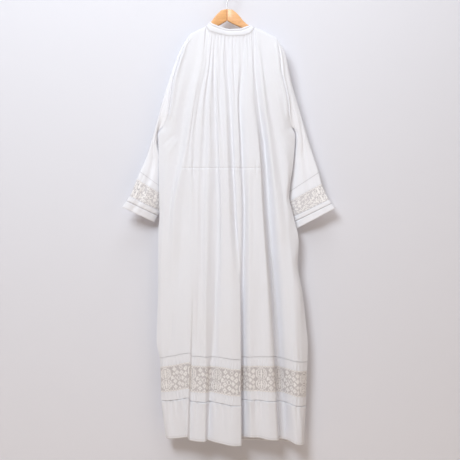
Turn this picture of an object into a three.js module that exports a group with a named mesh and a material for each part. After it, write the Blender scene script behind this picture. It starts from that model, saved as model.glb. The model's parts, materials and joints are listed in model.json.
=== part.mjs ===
// A floor-length linen smock with lace insertions, hanging on a wooden hanger.
// Millimetres. X runs across the smock, -Y points out of its back, which is the side that is seen,
// and Z is up. The origin is the inside top of the hanger's hook, where a peg holds it.
import * as THREE from 'three';

// Driving dimensions
const WALL = 1.6; // thickness of every cloth wall
const SEAM = 0.3; // gap between two pieces at a seam
const HALF_SEAM = SEAM / 2;

// Heights of the main lines of the body
const NECK_LINE = -166; // stands for the top edge, whose true height follows the neck and shoulders
const CHEST = -266;
const BACK = -399;
const UNDERARM = -495;
const WAIST = -574;
const HIP = -801;
const KNEE = -1099;
const BAND_TOP = -1298;
const LACE_TOP = -1330;
const LACE_BOTTOM = -1422;
const BAND_BOTTOM = -1454;
const HEM = -1590;
const LEVELS = [NECK_LINE, CHEST, BACK, WAIST, HIP, KNEE, HEM];

// Hanger
const ARM_END = 126; // half the hanger's width
const ARM_HALF_THICKNESS = 6;
const ARM_TILT = 0.037; // the right arm hangs a little higher
const ARM_FORWARD = -0.08; // both arms lean towards the back of the smock
const HOOK_RADIUS = 20; // inside the bow
const HOOK_START_ANGLE = -62; // where the bow begins and ends, from +X anticlockwise
const HOOK_END_ANGLE = 205;
const HOOK_ANGLE_STEP = 26.7;
const HOOK_STEPS = 34; // sections along the wire
const WIRE_RADIUS = 1.6;
const WIRE_SIDES = 8;
const SHANK_STRAIGHT = 14; // upright length of wire above the wood
const SHANK_LEAN = 0.6;
const SHANK_TO_BOW = 7;
const ARM_END_SHRINK = 0.55; // how far the ends of the arms are rounded in

// Neckband
const BAND_BULGE = 0.8;
const SLIT_BOTTOM = BACK; // the front slit ends at this level
const BUTTON_RADIUS = 5.5;
const BUTTON_THICKNESS = 2.4;
const BUTTON_FOLD = 9.5; // place of the button along the band, in folds of the front panel
const BUTTON_SIDES = 16;

// Sleeves
const SWELL_POWER = 0.6; // how full the edges of the flat tube are
const CREASE_PLACE = 0.3; // the long crease, as shares of the way across
const CREASE_WIDTH = 0.09;

// Share of a lace cell that its hole takes, across and down
const HEM_HOLE = [0.52, 0.34];
const CUFF_HOLE = [0.42, 0.4];
const NARROWEST_HOLED_CELL = 8.5;

// Top and bottom of a hanger arm, before its tilt. The top line runs on past the arm's end, as the
// shoulder cloth does.
const ARM_STATIONS = [0, 20, 35, 49, 58, 66, 76, 98, 112, 122, 130, 168, 175];
const ARM_TOPS = [-76, -80, -93, -110, -122, -130, -138, -147.5, -154.3, -159.4, -163.5, -184.7, -192.5];
const ARM_BOTTOMS = [-117.5, -129, -137, -144, -150, -156, -163, -173, -179, -182, -186, -190, -192];

// Neck seam: height of each panel's top edge between the two points that rest on the arms
const NECK_SEAM = {
  back: {
    across: [-76, -73, -68, -61, -52, -25, 17, 54, 77, 84, 90, 95, 98],
    height: [-139.2, -141, -149, -157, -161, -168, -174, -173, -167, -162, -154, -145, -142.2],
  },
  front: {
    across: [-76, -73, -68, -61, -52, -25, 11, 54, 77, 84, 90, 95, 98],
    height: [-139.2, -141, -149, -159, -166, -177, -184, -178, -169, -163, -154, -145, -142.2],
  },
};

// Top edge of the neckband over the same points: across, out from the arms' middle, height
const BAND_EDGE = {
  bottomAcross: [-76, -73, -68, -61, -52, -33, 14, 54, 77, 84, 90, 95, 98],
  topAcross: [-58, -56, -53, -48, -42, -27, 12, 43, 64, 70, 75, 79, 81],
  out: [0, 7.8, 10, 12, 13, 13.5, 14, 14, 13, 12, 10, 7.8, 0],
  back: [-122.4, -124.4, -128.5, -131.5, -134, -140, -149.5, -148.5, -142, -140, -138.5, -137, -135.8],
  front: [-122.4, -124.4, -129, -134, -139, -148, -158, -153, -144, -141, -139, -137, -135.8],
};

// Outline of the body from armhole to hem: level and place across
const OUTLINE = {
  left: {
    level: [-166, -187, -208, -235, -267, -303, -330, -369, -416, -462, -495, -520,
      -574, -679, -802, -872, -1064, -1239, -1309, -1449, -1519, -1590],
    across: [-130, -135, -150, -158, -170, -181, -188, -194, -200, -210, -228, -242,
      -241, -240, -238, -242, -243, -248, -236, -231, -224, -215],
  },
  right: {
    level: [-166, -242, -294, -336, -399, -462, -495, -520, -574, -637, -696, -738,
      -780, -822, -889, -966, -1064, -1152, -1239, -1379, -1484, -1590],
    across: [175, 186, 190, 200, 214, 220, 229, 240, 237, 231, 222, 219,
      228, 238, 252, 249, 266, 276, 284, 280, 276, 271],
  },
};

// Half the distance between the two panels at the armhole
const ARMHOLE_LEVELS = [NECK_LINE, -168, -176, -230, CHEST, BACK, -450, -482, UNDERARM];
const ARMHOLE_HALF_GAP = [HALF_SEAM, 7.8, 9.5, 9.5, 9, 8.5, 7, 3.4, HALF_SEAM];

// One fold line that runs from neck to hem. across and out are its place at each of LEVELS, and out
// is measured away from the hanger's plane. columns is how many columns of the wall lie between it
// and the next fold. bandDrop and hemDrop say how far the band seam and the hem sink below level.
function fold(name, columns, across, out, bandDrop, hemDrop) {
  return { name, columns, across, out, bandDrop, hemDrop };
}

const BACK_FOLDS = [
  fold('left side', 2, [-130, -175, -194, -234, -238, -243, -215],
    [0, 9, 9, 0, 0, 0, 0], 6, -4),
  fold('left soft ridge', 2, [-114, -158, -175, -203, -220, -233, -200],
    [10, 13, 14, 12, 10, 8, 14], 4, -4),
  fold('left soft hollow', 2, [-96, -116, -147, -168, -203, -217, -178],
    [10, 12, 11, 10, 9, 11, 17], 0, -6),
  fold('left long ridge', 1, [-76, -91, -117, -144, -186, -192, -161],
    [12, 16, 20, 22, 20, 16, 24], -4, -9),
  fold('left hollow', 2, [-73, -82, -110, -133, -152, -172, -149],
    [8.3, 14, 17, 18, 17, 20, 30], -9, -12),
  fold('left roll edge', 1, [-68, -77, -103, -126, -126, -127, -139],
    [10.5, 15, 18, 20, 22, 32, 42], -15, -16),
  fold('left roll hollow', 1, [-61, -71, -96, -114, -114, -121, -136],
    [13, 12.5, 14, 13, 16, 17, 20], -3, -1),
  fold('second ridge', 1, [-56, -64, -84, -96, -103, -105, -112],
    [13.5, 15.5, 18, 18, 21, 25, 32], -3, 1),
  fold('second hollow', 1, [-52, -59, -74, -80, -89, -89, -93],
    [13.5, 13, 13.5, 12, 17, 24, 37], -2, 2),
  fold('centre left ridge', 2, [-48, -52, -60, -63, -70, -72, -77],
    [13.5, 16, 19, 21, 25, 31, 38], -1, 2),
  fold('centre left hollow', 2, [-44, -46, -44, -38, -32, -40, -70],
    [14, 10.5, 10, 9.5, 11, 15, 17], 0, -1),
  fold('centre left crest', 1, [-33, -35, -34, -26, -18, -21, -46],
    [14, 16, 17, 21, 26, 28, 33], 0, 3),
  fold('centre dent', 2, [-23, -24, -25, -14, -6, -4, -16],
    [14, 14, 12.5, 20, 27, 34, 43], 2, 8),
  fold('centre roll', 2, [-10, -12, -7, 1, 7, 18, 19],
    [14.5, 17, 20, 23, 28, 38, 50], 6, 14),
  fold('centre roll edge', 1, [1, 1, 10, 18, 29, 47, 50],
    [14.5, 11.5, 13, 14, 14, 31, 42], 8, 15),
  fold('centre roll inside', 1, [16, 16, 22, 27, 36, 48, 50],
    [15, 16, 18.5, 20, 21, 25, 33], 7, 10),
  fold('centre tuck', 1, [28, 27, 29, 34, 42, 50, 49],
    [15, 13.5, 17.5, 21, 22, 19, 24], 5, 2),
  fold('centre tuck inside', 1, [40, 40, 36, 43, 50, 51, 48],
    [15, 16, 18.5, 20, 20, 13, 15], 3, -6),
  fold('centre valley', 2, [54, 54, 45, 52, 60, 55, 52],
    [15, 11.5, 9, 8, 8, 8, 7], 1, -10),
  fold('right roll crest', 2, [67, 69, 70, 79, 78, 79, 84],
    [15, 17, 20, 25, 30, 34, 37], -1, -13),
  fold('right soft hollow', 2, [77, 80, 83, 98, 100, 102, 107],
    [14.5, 15.5, 20, 25, 31, 33, 33], -2, -12),
  fold('right roll', 2, [84, 88, 93, 112, 122, 136, 150],
    [13.5, 15, 17, 23, 29, 38, 45], -3, -5),
  fold('right roll edge', 1, [90, 92, 102, 122, 135, 157, 177],
    [11.3, 11, 10, 11, 13, 23, 37], -3, -4),
  fold('deep valley', 2, [95, 97, 109, 134, 146, 168, 186],
    [8.3, 8, 5, 1, -1, -3, -6], 4, 0),
  fold('right crest', 2, [98, 116, 130, 152, 182, 208, 223],
    [12, 15, 19, 20, 22, 20, 17], 9, 4),
  fold('right hollow', 1, [119, 128, 147, 178, 205, 234, 243],
    [10, 10.5, 10, 9, 12, 26, 32], 15, 13),
  fold('right side ridge', 2, [147, 161, 180, 205, 220, 256, 259],
    [10, 13, 15, 13, 9, 18, 27], 18, 16),
  fold('right side', 0, [175, 187, 214, 233, 229, 270, 271],
    [0, 9, 9, 0, 0, 0, 0], 20, 18),
];

const FRONT_FOLDS = [
  fold('left side', 2, [-130, -175, -194, -234, -238, -243, -215],
    [0, 9, 9, 0, 0, 0, 0], 6, -4),
  fold('left soft ridge', 2, [-112, -150, -178, -205, -205, -205, -190],
    [10, 11, 11, 7, 6, 14, 22], 6, -3),
  fold('left soft hollow', 2, [-94, -115, -140, -165, -165, -165, -150],
    [10, 12, 12, 10, 9, 12, 17], 7, -2),
  fold('left ridge', 1, [-76, -90, -108, -120, -125, -128, -112],
    [12, 15, 17, 18, 20, 26, 36], 8, 2),
  fold('left hollow', 1, [-73, -74, -80, -87, -88, -92, -76],
    [8.3, 13, 13, 12, 12, 14, 18], 9, 0),
  fold('left crest', 1, [-61, -58, -62, -66, -68, -72, -56],
    [12.5, 14, 15, 15, 16, 20, 28], 9, 4),
  fold('centre left ridge', 2, [-44, -42, -45, -48, -50, -54, -40],
    [13, 15, 17, 19, 21, 27, 38], 10, 6),
  fold('centre left hollow', 2, [-15, -16, -18, -20, -18, -20, -8],
    [13, 13.5, 14, 14, 14, 15, 19], 11, 4),
  fold('slit left', 1, [9.5, 9.5, 9.5, 9.5, 10, 12, 18],
    [13, 15, 16.5, 18, 20, 26, 34], 12, 8),
  fold('slit right', 2, [12.5, 12.5, 12.5, 12.5, 14, 18, 26],
    [13, 15, 16.5, 18, 20, 26, 34], 12, 8),
  fold('centre right hollow', 2, [38, 38, 40, 44, 48, 52, 58],
    [13, 13.5, 14, 13, 13, 14, 17], 13, 7),
  fold('centre right ridge', 1, [64, 68, 72, 80, 86, 94, 100],
    [13, 15, 17, 19, 21, 28, 38], 14, 11),
  fold('right crest', 1, [84, 84, 90, 99, 105, 115, 120],
    [12.5, 14, 15, 15, 16, 20, 28], 15, 10),
  fold('right hollow', 1, [95, 99, 108, 119, 124, 136, 140],
    [8.3, 12.5, 13, 12, 12, 14, 18], 16, 9),
  fold('right ridge', 2, [98, 118, 138, 155, 158, 175, 180],
    [12, 13.5, 15, 16, 17, 25, 35], 17, 13),
  fold('right soft hollow', 2, [125, 150, 175, 190, 190, 215, 218],
    [10, 12, 12, 9, 8, 13, 18], 18, 14),
  fold('right soft ridge', 2, [150, 170, 196, 215, 212, 245, 250],
    [10, 11, 10, 6, 5, 12, 20], 19, 17),
  fold('right side', 0, [175, 187, 214, 233, 229, 270, 271],
    [0, 9, 9, 0, 0, 0, 0], 20, 18),
];

const SIDE_CLEARANCE = 11; // shortest distance from a side seam to its first fold
const SIDE_FOLDS = 3; // how many folds keep that distance from each other there

// The two panels. towards is the Y direction that each one faces, and the tips are the folds whose
// top ends rest on the hanger's arms beside the neck.
const PANELS = {
  back: { key: 'back', towards: -1, folds: BACK_FOLDS, leftTip: 3, rightTip: 24 },
  front: { key: 'front', towards: 1, folds: FRONT_FOLDS, leftTip: 3, rightTip: 14 },
};
const SLIT_FOLD = 8;

// Rows of a panel: the first ones are shares of the way from the top edge down to the chest
const SHOULDER_ROWS = [0, 0.02, 0.1, 0.32, 0.64];
const PANEL_ROWS = [
  ...SHOULDER_ROWS.map((share) => NECK_LINE + share * (CHEST - NECK_LINE)),
  CHEST, -330, BACK, -450, -482, UNDERARM, -520, WAIST, -690, HIP, -950, KNEE, -1200, BAND_TOP,
];
const ARMHOLE_ROWS = PANEL_ROWS.filter((level) => level >= UNDERARM);

// Rings down each sleeve: the outer and the inner edge of the flat tube, its depth at those edges,
// half its thickness, how much of the armhole's curve it keeps, and how deep its long crease is
function ring(
  outerAcross, outerHeight, innerAcross, innerHeight, outerDepth, innerDepth, half, curve, crease,
) {
  return { outerAcross, outerHeight, innerAcross, innerHeight, outerDepth, innerDepth, half, curve, crease };
}

const SLEEVES = {
  left: {
    outline: OUTLINE.left,
    foldIndex: { back: 0, front: 0 },
    outwards: new THREE.Vector3(-0.96, 0, 0.28),
    underarm: new THREE.Vector3(-229.9, -3, -494),
    rings: [
      ring(-130, -166, -228, -495, -10, -3, 9, 1, 0),
      ring(-164, -220, -235, -499.5, -8, -0.5, 9, 0.45, 0),
      ring(-214, -357, -241, -506, -4, 4, 10, 0.2, 0),
      ring(-248, -476, -245, -518, 0, 8, 14, 0, 1),
      ring(-264, -532, -244, -550, 2, 15, 14, 0, 3),
      ring(-282, -592, -212, -645, 3, 25, 11, 0, 4),
      ring(-306, -649, -203, -724, -8, 29, 9, 0, 5),
      ring(-316, -674, -209, -742, -13, 28, 9, 0, 4.5),
      ring(-341, -736, -236, -788, -21, 26, 10, 0, 4),
      ring(-366, -774, -259, -826, -27, 23, 11, 0, 3),
    ],
  },
  right: {
    outline: OUTLINE.right,
    foldIndex: { back: BACK_FOLDS.length - 1, front: FRONT_FOLDS.length - 1 },
    outwards: new THREE.Vector3(0.96, 0, 0.28),
    underarm: new THREE.Vector3(230.9, -3, -494),
    rings: [
      ring(175, -186, 229, -495, -14, -3, 9, 1, 0),
      ring(200, -224, 236, -498, -11, 0, 9, 0.45, 0),
      ring(228, -343, 239.5, -506, -5, 4, 10, 0.2, 0),
      ring(259, -444, 242.5, -519, 2, 9, 12, 0, 1),
      ring(277, -505, 240, -556, 5, 17, 12, 0, 3),
      ring(296, -567, 216, -636, 7, 28, 10, 0, 4),
      ring(324, -651, 200, -732, 6, 30, 9, 0, 4),
      ring(334, -690, 203, -763, 5, 29, 9, 0, 3.5),
      ring(360, -747, 228, -810, 2, 28, 9, 0, 3),
      ring(381, -777, 246, -850, 0, 26, 9, 0, 2),
    ],
  },
};
const SLEEVE_END = 6; // ring numbers of the seams down a sleeve
const CUFF_LACE_TOP = 7;
const CUFF_LACE_BOTTOM = 8;
const CUFF_END = 9;
const CUFF_STITCHING = 8.4;
const RING_SHARES = [0, 0.02, 0.06, 0.13, 0.24, 0.38, 0.53, 0.68, 0.82, 0.93, 1];

// A smooth curve through values at stops that never overshoots them
function throughStops(stops, values, at) {
  const last = stops.length - 1;
  const falling = stops[last] < stops[0];
  let i = 0;
  while (i < last - 1 && (falling ? at < stops[i + 1] : at > stops[i + 1])) {
    i += 1;
  }
  const slope = (k) => (values[k + 1] - values[k]) / (stops[k + 1] - stops[k]);
  const tangent = (k) => {
    if (k === 0) return slope(0);
    if (k === last) return slope(last - 1);
    const before = slope(k - 1);
    const after = slope(k);
    return before * after <= 0 ? 0 : (2 * before * after) / (before + after);
  };
  const span = stops[i + 1] - stops[i];
  const t = THREE.MathUtils.clamp((at - stops[i]) / span, 0, 1);
  const startWeight = (1 + 2 * t) * (1 - t) ** 2;
  const endWeight = t * t * (3 - 2 * t);
  return startWeight * values[i] + endWeight * values[i + 1]
    + span * t * (1 - t) * ((1 - t) * tangent(i) - t * tangent(i + 1));
}

// Straight lines through values at rising stops
function alongStops(stops, values, at) {
  let i = 0;
  while (i < stops.length - 2 && at > stops[i + 1]) i += 1;
  return THREE.MathUtils.mapLinear(at, stops[i], stops[i + 1], values[i], values[i + 1]);
}

// The same curve across the folds, where place counts the folds from the left side
function acrossFolds(place, count, valueOf) {
  const from = THREE.MathUtils.clamp(Math.floor(place) - 1, 0, count - 1);
  const to = THREE.MathUtils.clamp(Math.floor(place) + 2, 0, count - 1);
  const stops = [];
  const values = [];
  for (let k = from; k <= to; k += 1) {
    stops.push(k);
    values.push(valueOf(k));
  }
  return throughStops(stops, values, place);
}

// Height of the cloth where it lies on the arms
const CLOTH_LIFT = WALL / 2 + SEAM;
function armTop(across) {
  return alongStops(ARM_STATIONS, ARM_TOPS, Math.abs(across)) + ARM_TILT * across;
}
function armBottom(across) {
  return alongStops(ARM_STATIONS, ARM_BOTTOMS, Math.abs(across)) + ARM_TILT * across;
}

// Depth of the plane between the two panels: it follows the arms at the top and fades by the waist
function middleDepth(across, level) {
  const fade = THREE.MathUtils.smoothstep(level, WAIST, CHEST);
  return ARM_FORWARD * Math.abs(across) * fade;
}

function isNeck(panel, place) {
  return place > panel.leftTip && place < panel.rightTip;
}

function topHeight(panel, place, across) {
  const seam = NECK_SEAM[panel.key];
  return isNeck(panel, place)
    ? throughStops(seam.across, seam.height, across)
    : armTop(across) + CLOTH_LIFT;
}

// How far the cloth has come out over an arm's rounded top, from 0 at the shoulder seam to 1
const COME_OUT = { share: [0, 0.02, 0.1, 1], out: [0, 0.8, 1, 1] };
function comeOut(panel, place, level) {
  if (isNeck(panel, place)) return 1;
  const share = THREE.MathUtils.clamp((NECK_LINE - level) / (NECK_LINE - CHEST), 0, 1);
  return throughStops(COME_OUT.share, COME_OUT.out, share);
}

// A point of a panel's middle surface
function panelPoint(panel, place, level) {
  const { folds } = panel;
  const last = folds.length - 1;
  const leftEdge = throughStops(OUTLINE.left.level, OUTLINE.left.across, level);
  const rightEdge = throughStops(OUTLINE.right.level, OUTLINE.right.across, level);
  const acrossOf = (k) => {
    if (k === 0) return leftEdge;
    if (k === last) return rightEdge;
    const furthestLeft = leftEdge + SIDE_CLEARANCE * Math.min(k, SIDE_FOLDS);
    const furthestRight = rightEdge - SIDE_CLEARANCE * Math.min(last - k, SIDE_FOLDS);
    return THREE.MathUtils.clamp(throughStops(LEVELS, folds[k].across, level), furthestLeft, furthestRight);
  };
  const edgeGap = level > UNDERARM
    ? throughStops(ARMHOLE_LEVELS, ARMHOLE_HALF_GAP, level)
    : HALF_SEAM;
  const outOf = (k) => {
    if (k === 0 || k === last) return edgeGap;
    return throughStops(LEVELS, folds[k].out, level) * comeOut(panel, k, level);
  };
  const across = acrossFolds(place, folds.length, acrossOf);
  let out = acrossFolds(place, folds.length, outOf);
  if (!isNeck(panel, place) && level === NECK_LINE) out = HALF_SEAM;

  let height = level;
  if (level > CHEST) {
    const share = (NECK_LINE - level) / (NECK_LINE - CHEST);
    const topAcross = acrossFolds(place, folds.length, (k) => (
      k === 0 ? OUTLINE.left.across[0] : k === last ? OUTLINE.right.across[0] : folds[k].across[0]
    ));
    height = THREE.MathUtils.lerp(topHeight(panel, place, topAcross), CHEST, share);
  }
  const bandDrop = acrossFolds(place, folds.length, (k) => folds[k].bandDrop);
  const hemDrop = acrossFolds(place, folds.length, (k) => folds[k].hemDrop);
  const sunk = THREE.MathUtils.smoothstep(-level, -HIP, -BAND_TOP);
  const towardsHem = THREE.MathUtils.clamp((BAND_TOP - level) / (BAND_TOP - HEM), 0, 1);
  height -= sunk * THREE.MathUtils.lerp(bandDrop, hemDrop, towardsHem);
  const depth = middleDepth(across, level) + panel.towards * out;
  return new THREE.Vector3(across, depth, height);
}

// The direction that a panel's outer face looks in
function panelNormal(panel, place, level) {
  const last = panel.folds.length - 1;
  const atSide = place === 0 || place === last;
  if (atSide && level <= UNDERARM) return new THREE.Vector3(place === 0 ? -1 : 1, 0, 0);
  if (!isNeck(panel, place) && level === NECK_LINE) {
    const { x } = panelPoint(panel, place, level);
    const rise = armTop(x + 1) - armTop(x - 1);
    return new THREE.Vector3(-rise / 2, 0, 1).normalize();
  }
  const step = 0.05;
  const drop = 1.5;
  const left = panelPoint(panel, Math.max(place - step, 0), level);
  const right = panelPoint(panel, Math.min(place + step, last), level);
  const above = panelPoint(panel, place, Math.min(level + drop, NECK_LINE - 0.01));
  const below = panelPoint(panel, place, level - drop);
  const acrossWay = right.sub(left);
  const downWay = below.sub(above);
  return acrossWay.cross(downWay).multiplyScalar(panel.towards).normalize();
}

// Places of a panel's columns, counted in folds
function panelColumns(panel) {
  const columns = [0];
  panel.folds.forEach((line, k) => {
    for (let n = 1; n <= line.columns; n += 1) columns.push(k + n / line.columns);
  });
  return columns;
}

const SPLIT_ORDER = new THREE.Vector3(0.37, 0.11, 1);

// A closed cloth wall on a grid of middle points. pointAt and normalAt take a column and a row.
// open cells are left out, and a holed cell has a hole that takes the given shares of it. The grid's
// columns run anticlockwise round its rows' direction when seen from outside, or flip turns it.
function clothWall({ columns, rows, pointAt, normalAt, wrap = false, flip = false, isOpen, holeOf }) {
  const positions = [];
  const triangles = [];
  const half = WALL / 2;
  const addVertex = (point) => {
    positions.push(point.x, point.y, point.z);
    return positions.length / 3 - 1;
  };
  const grid = columns.map((column) => rows.map((row) => {
    const point = pointAt(column, row);
    const normal = normalAt(column, row);
    return {
      outer: addVertex(point.clone().addScaledVector(normal, half)),
      inner: addVertex(point.clone().addScaledVector(normal, -half)),
    };
  }));
  const vertex = (index) => new THREE.Vector3().fromArray(positions, index * 3);
  const addQuad = (a, b, c, d) => {
    if (flip) triangles.push(a, c, b, a, d, c);
    else triangles.push(a, b, c, a, c, d);
  };
  const addBothFaces = (a, b, c, d) => {
    addQuad(a.outer, b.outer, c.outer, d.outer);
    addQuad(a.inner, d.inner, c.inner, b.inner);
  };
  // An end face is split from the outer corner of its higher end, so that both sides of a seam match
  const rank = ({ outer, inner }) => vertex(outer).add(vertex(inner)).dot(SPLIT_ORDER);
  const addEdge = (from, to) => {
    if (rank(from) > rank(to)) addQuad(from.outer, from.inner, to.inner, to.outer);
    else addQuad(to.outer, from.outer, from.inner, to.inner);
  };

  const columnCells = wrap ? columns.length : columns.length - 1;
  const rowCells = rows.length - 1;
  const present = (i, j) => {
    if (j < 0 || j >= rowCells) return false;
    if (!wrap && (i < 0 || i >= columnCells)) return false;
    const column = (i + columnCells) % columnCells;
    return !(isOpen && isOpen(column, j));
  };
  const between = (corners, acrossShare, downShare) => {
    const [a, b, c, d] = corners;
    const mix = (kind) => {
      const top = vertex(a[kind]).lerp(vertex(b[kind]), acrossShare);
      const bottom = vertex(d[kind]).lerp(vertex(c[kind]), acrossShare);
      return addVertex(top.lerp(bottom, downShare));
    };
    return { outer: mix('outer'), inner: mix('inner') };
  };

  for (let i = 0; i < columnCells; i += 1) {
    for (let j = 0; j < rowCells; j += 1) {
      if (!present(i, j)) continue;
      const next = (i + 1) % columns.length;
      const corners = [grid[i][j], grid[next][j], grid[next][j + 1], grid[i][j + 1]];
      const width = vertex(corners[0].outer).distanceTo(vertex(corners[1].outer));
      const hole = holeOf && width > NARROWEST_HOLED_CELL ? holeOf(i, j) : null;
      if (hole) {
        const low = hole.map((share) => (1 - share) / 2);
        const high = hole.map((share) => (1 + share) / 2);
        const inside = [
          between(corners, low[0], low[1]), between(corners, high[0], low[1]),
          between(corners, high[0], high[1]), between(corners, low[0], high[1]),
        ];
        for (let n = 0; n < 4; n += 1) {
          const m = (n + 1) % 4;
          addBothFaces(corners[n], corners[m], inside[m], inside[n]);
          addEdge(inside[m], inside[n]);
        }
      } else {
        addBothFaces(...corners);
      }
      if (!present(i, j - 1)) addEdge(corners[0], corners[1]);
      if (!present(i + 1, j)) addEdge(corners[1], corners[2]);
      if (!present(i, j + 1)) addEdge(corners[2], corners[3]);
      if (!present(i - 1, j)) addEdge(corners[3], corners[0]);
    }
  }
  const geometry = new THREE.BufferGeometry();
  geometry.setAttribute('position', new THREE.Float32BufferAttribute(positions, 3));
  geometry.setIndex(triangles);
  geometry.computeVertexNormals();
  return geometry;
}

// A stretch of a panel's surface between two levels, with half a seam left free at each end
function panelWall(panel, levels, options = {}) {
  const rows = levels.map((level, k) => {
    if (k === 0 && level < NECK_LINE) return { level, sewn: level - HALF_SEAM };
    if (k === levels.length - 1 && level > HEM) return { level, sewn: level + HALF_SEAM };
    return { level, sewn: level };
  });
  return clothWall({
    columns: panelColumns(panel),
    rows,
    pointAt: (place, row) => panelPoint(panel, place, row.sewn),
    normalAt: (place, row) => panelNormal(panel, place, row.level),
    flip: panel.towards < 0,
    ...options,
  });
}

// Alternate lace cells have a hole
function chequered(share) {
  return (i, j) => ((i + j) % 2 === 0 ? share : null);
}

// The neckband runs from the slit round the right arm, over the back and round the left arm
function neckbandColumns() {
  const front = panelColumns(PANELS.front);
  const back = panelColumns(PANELS.back);
  const { leftTip, rightTip } = PANELS.front;
  const frontRight = front.filter((place) => place >= SLIT_FOLD + 1 && place < rightTip);
  const frontLeft = front.filter((place) => place > leftTip && place <= SLIT_FOLD);
  const overBack = back.filter((place) => place >= PANELS.back.leftTip && place <= PANELS.back.rightTip);
  const onPanel = (panel) => (place) => ({ panel, place });
  return [
    ...frontRight.map(onPanel(PANELS.front)),
    ...overBack.reverse().map(onPanel(PANELS.back)),
    ...frontLeft.map(onPanel(PANELS.front)),
  ];
}

function isTip({ panel, place }) {
  return place === panel.leftTip || place === panel.rightTip;
}

function neckbandPoint(column, share) {
  const { panel, place } = column;
  const bottom = panelPoint(panel, place, NECK_LINE);
  const across = throughStops(BAND_EDGE.bottomAcross, BAND_EDGE.topAcross, bottom.x);
  const out = throughStops(BAND_EDGE.bottomAcross, BAND_EDGE.out, bottom.x);
  const height = throughStops(BAND_EDGE.bottomAcross, BAND_EDGE[panel.key], bottom.x);
  if (isTip(column)) bottom.y = middleDepth(bottom.x, NECK_LINE);
  const top = new THREE.Vector3(across, middleDepth(across, NECK_LINE) + panel.towards * out, height);
  const way = top.clone().sub(bottom);
  const start = bottom.addScaledVector(way.clone().normalize(), SEAM);
  const bulge = isTip(column) ? 0 : panel.towards * BAND_BULGE * Math.sin(Math.PI * share);
  const point = start.lerp(top, share);
  point.y += bulge;
  return point;
}

function neckbandGeometry() {
  const columns = neckbandColumns();
  const normalAt = (column, share) => {
    const k = columns.indexOf(column);
    if (share === 0 && !isTip(column)) return panelNormal(column.panel, column.place, NECK_LINE);
    const before = neckbandPoint(columns[Math.max(k - 1, 0)], share);
    const after = neckbandPoint(columns[Math.min(k + 1, columns.length - 1)], share);
    const upWay = neckbandPoint(column, 1).sub(neckbandPoint(column, 0));
    return upWay.cross(after.sub(before)).normalize();
  };
  return clothWall({
    columns,
    rows: [0, 0.5, 1],
    pointAt: neckbandPoint,
    normalAt,
    flip: true,
  });
}

// Columns of a sleeve: round its back wall from the outer to the inner edge, then back along the front
function sleeveColumns() {
  const last = RING_SHARES.length - 1;
  const columns = [];
  for (let k = 0; k <= last; k += 1) columns.push({ key: 'back', k });
  for (let k = last - 1; k > 0; k -= 1) columns.push({ key: 'front', k });
  return columns;
}

function ringValue(sleeve, name, at) {
  return throughStops(sleeve.rings.map((_, k) => k), sleeve.rings.map((item) => item[name]), at);
}

// A point of a ring as its own table row gives it
function plainRingPoint(sleeve, key, share, at) {
  const value = (name) => ringValue(sleeve, name, at);
  const towards = PANELS[key].towards;
  const swell = Math.sin(Math.PI * share) ** SWELL_POWER;
  const dent = value('crease') * Math.exp(-(((share - CREASE_PLACE) / CREASE_WIDTH) ** 2));
  const depth = THREE.MathUtils.lerp(value('outerDepth'), value('innerDepth'), share);
  return new THREE.Vector3(
    THREE.MathUtils.lerp(value('outerAcross'), value('innerAcross'), share),
    depth + towards * (value('half') * swell - dent),
    THREE.MathUtils.lerp(value('outerHeight'), value('innerHeight'), share),
  );
}

// A point of the armhole, just outside the panels' edges
function armholePoint(sleeve, key, k) {
  if (k === RING_SHARES.length - 1) return sleeve.underarm.clone();
  const panel = PANELS[key];
  const point = panelPoint(panel, sleeve.foldIndex[key], ARMHOLE_ROWS[k]);
  if (k === 0) point.y = middleDepth(point.x, NECK_LINE);
  return point.addScaledVector(sleeve.outwards, SEAM);
}

function sleevePoint(sleeve, { key, k }, at) {
  const kept = ringValue(sleeve, 'curve', at);
  if (kept === 0) return plainRingPoint(sleeve, key, RING_SHARES[k], at);
  const start = armholePoint(sleeve, key, k);
  const { outerHeight, innerHeight } = sleeve.rings[0];
  const startShare = THREE.MathUtils.clamp((start.z - outerHeight) / (innerHeight - outerHeight), 0, 1);
  const change = start.sub(plainRingPoint(sleeve, key, startShare, 0));
  const share = THREE.MathUtils.lerp(RING_SHARES[k], startShare, kept);
  return plainRingPoint(sleeve, key, share, at).addScaledVector(change, kept);
}

function sleeveNormal(sleeve, column, at) {
  const { key, k } = column;
  const last = RING_SHARES.length - 1;
  if (at === 0 && k < last) return panelNormal(PANELS[key], sleeve.foldIndex[key], ARMHOLE_ROWS[k]);
  const columns = sleeveColumns();
  const n = columns.findIndex((item) => item.key === key && item.k === k);
  const before = sleevePoint(sleeve, columns[(n + columns.length - 1) % columns.length], at);
  const after = sleevePoint(sleeve, columns[(n + 1) % columns.length], at);
  const step = 0.05;
  const above = sleevePoint(sleeve, column, Math.max(at - step, 0));
  const below = sleevePoint(sleeve, column, Math.min(at + step, CUFF_END));
  const here = sleevePoint(sleeve, column, at);
  const path = below.sub(above);
  const ahead = after.sub(here).cross(path).normalize();
  const behind = here.sub(before).cross(path).normalize();
  const normal = ahead.add(behind).normalize();
  return sleeve.outwards.x > 0 ? normal : normal.negate();
}

// Mean distance between two rings of the table
function ringStep(sleeve, from, to) {
  const upper = sleeve.rings[from];
  const lower = sleeve.rings[to];
  const outer = Math.hypot(lower.outerAcross - upper.outerAcross, lower.outerHeight - upper.outerHeight);
  const inner = Math.hypot(lower.innerAcross - upper.innerAcross, lower.innerHeight - upper.innerHeight);
  return (outer + inner) / 2;
}

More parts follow.
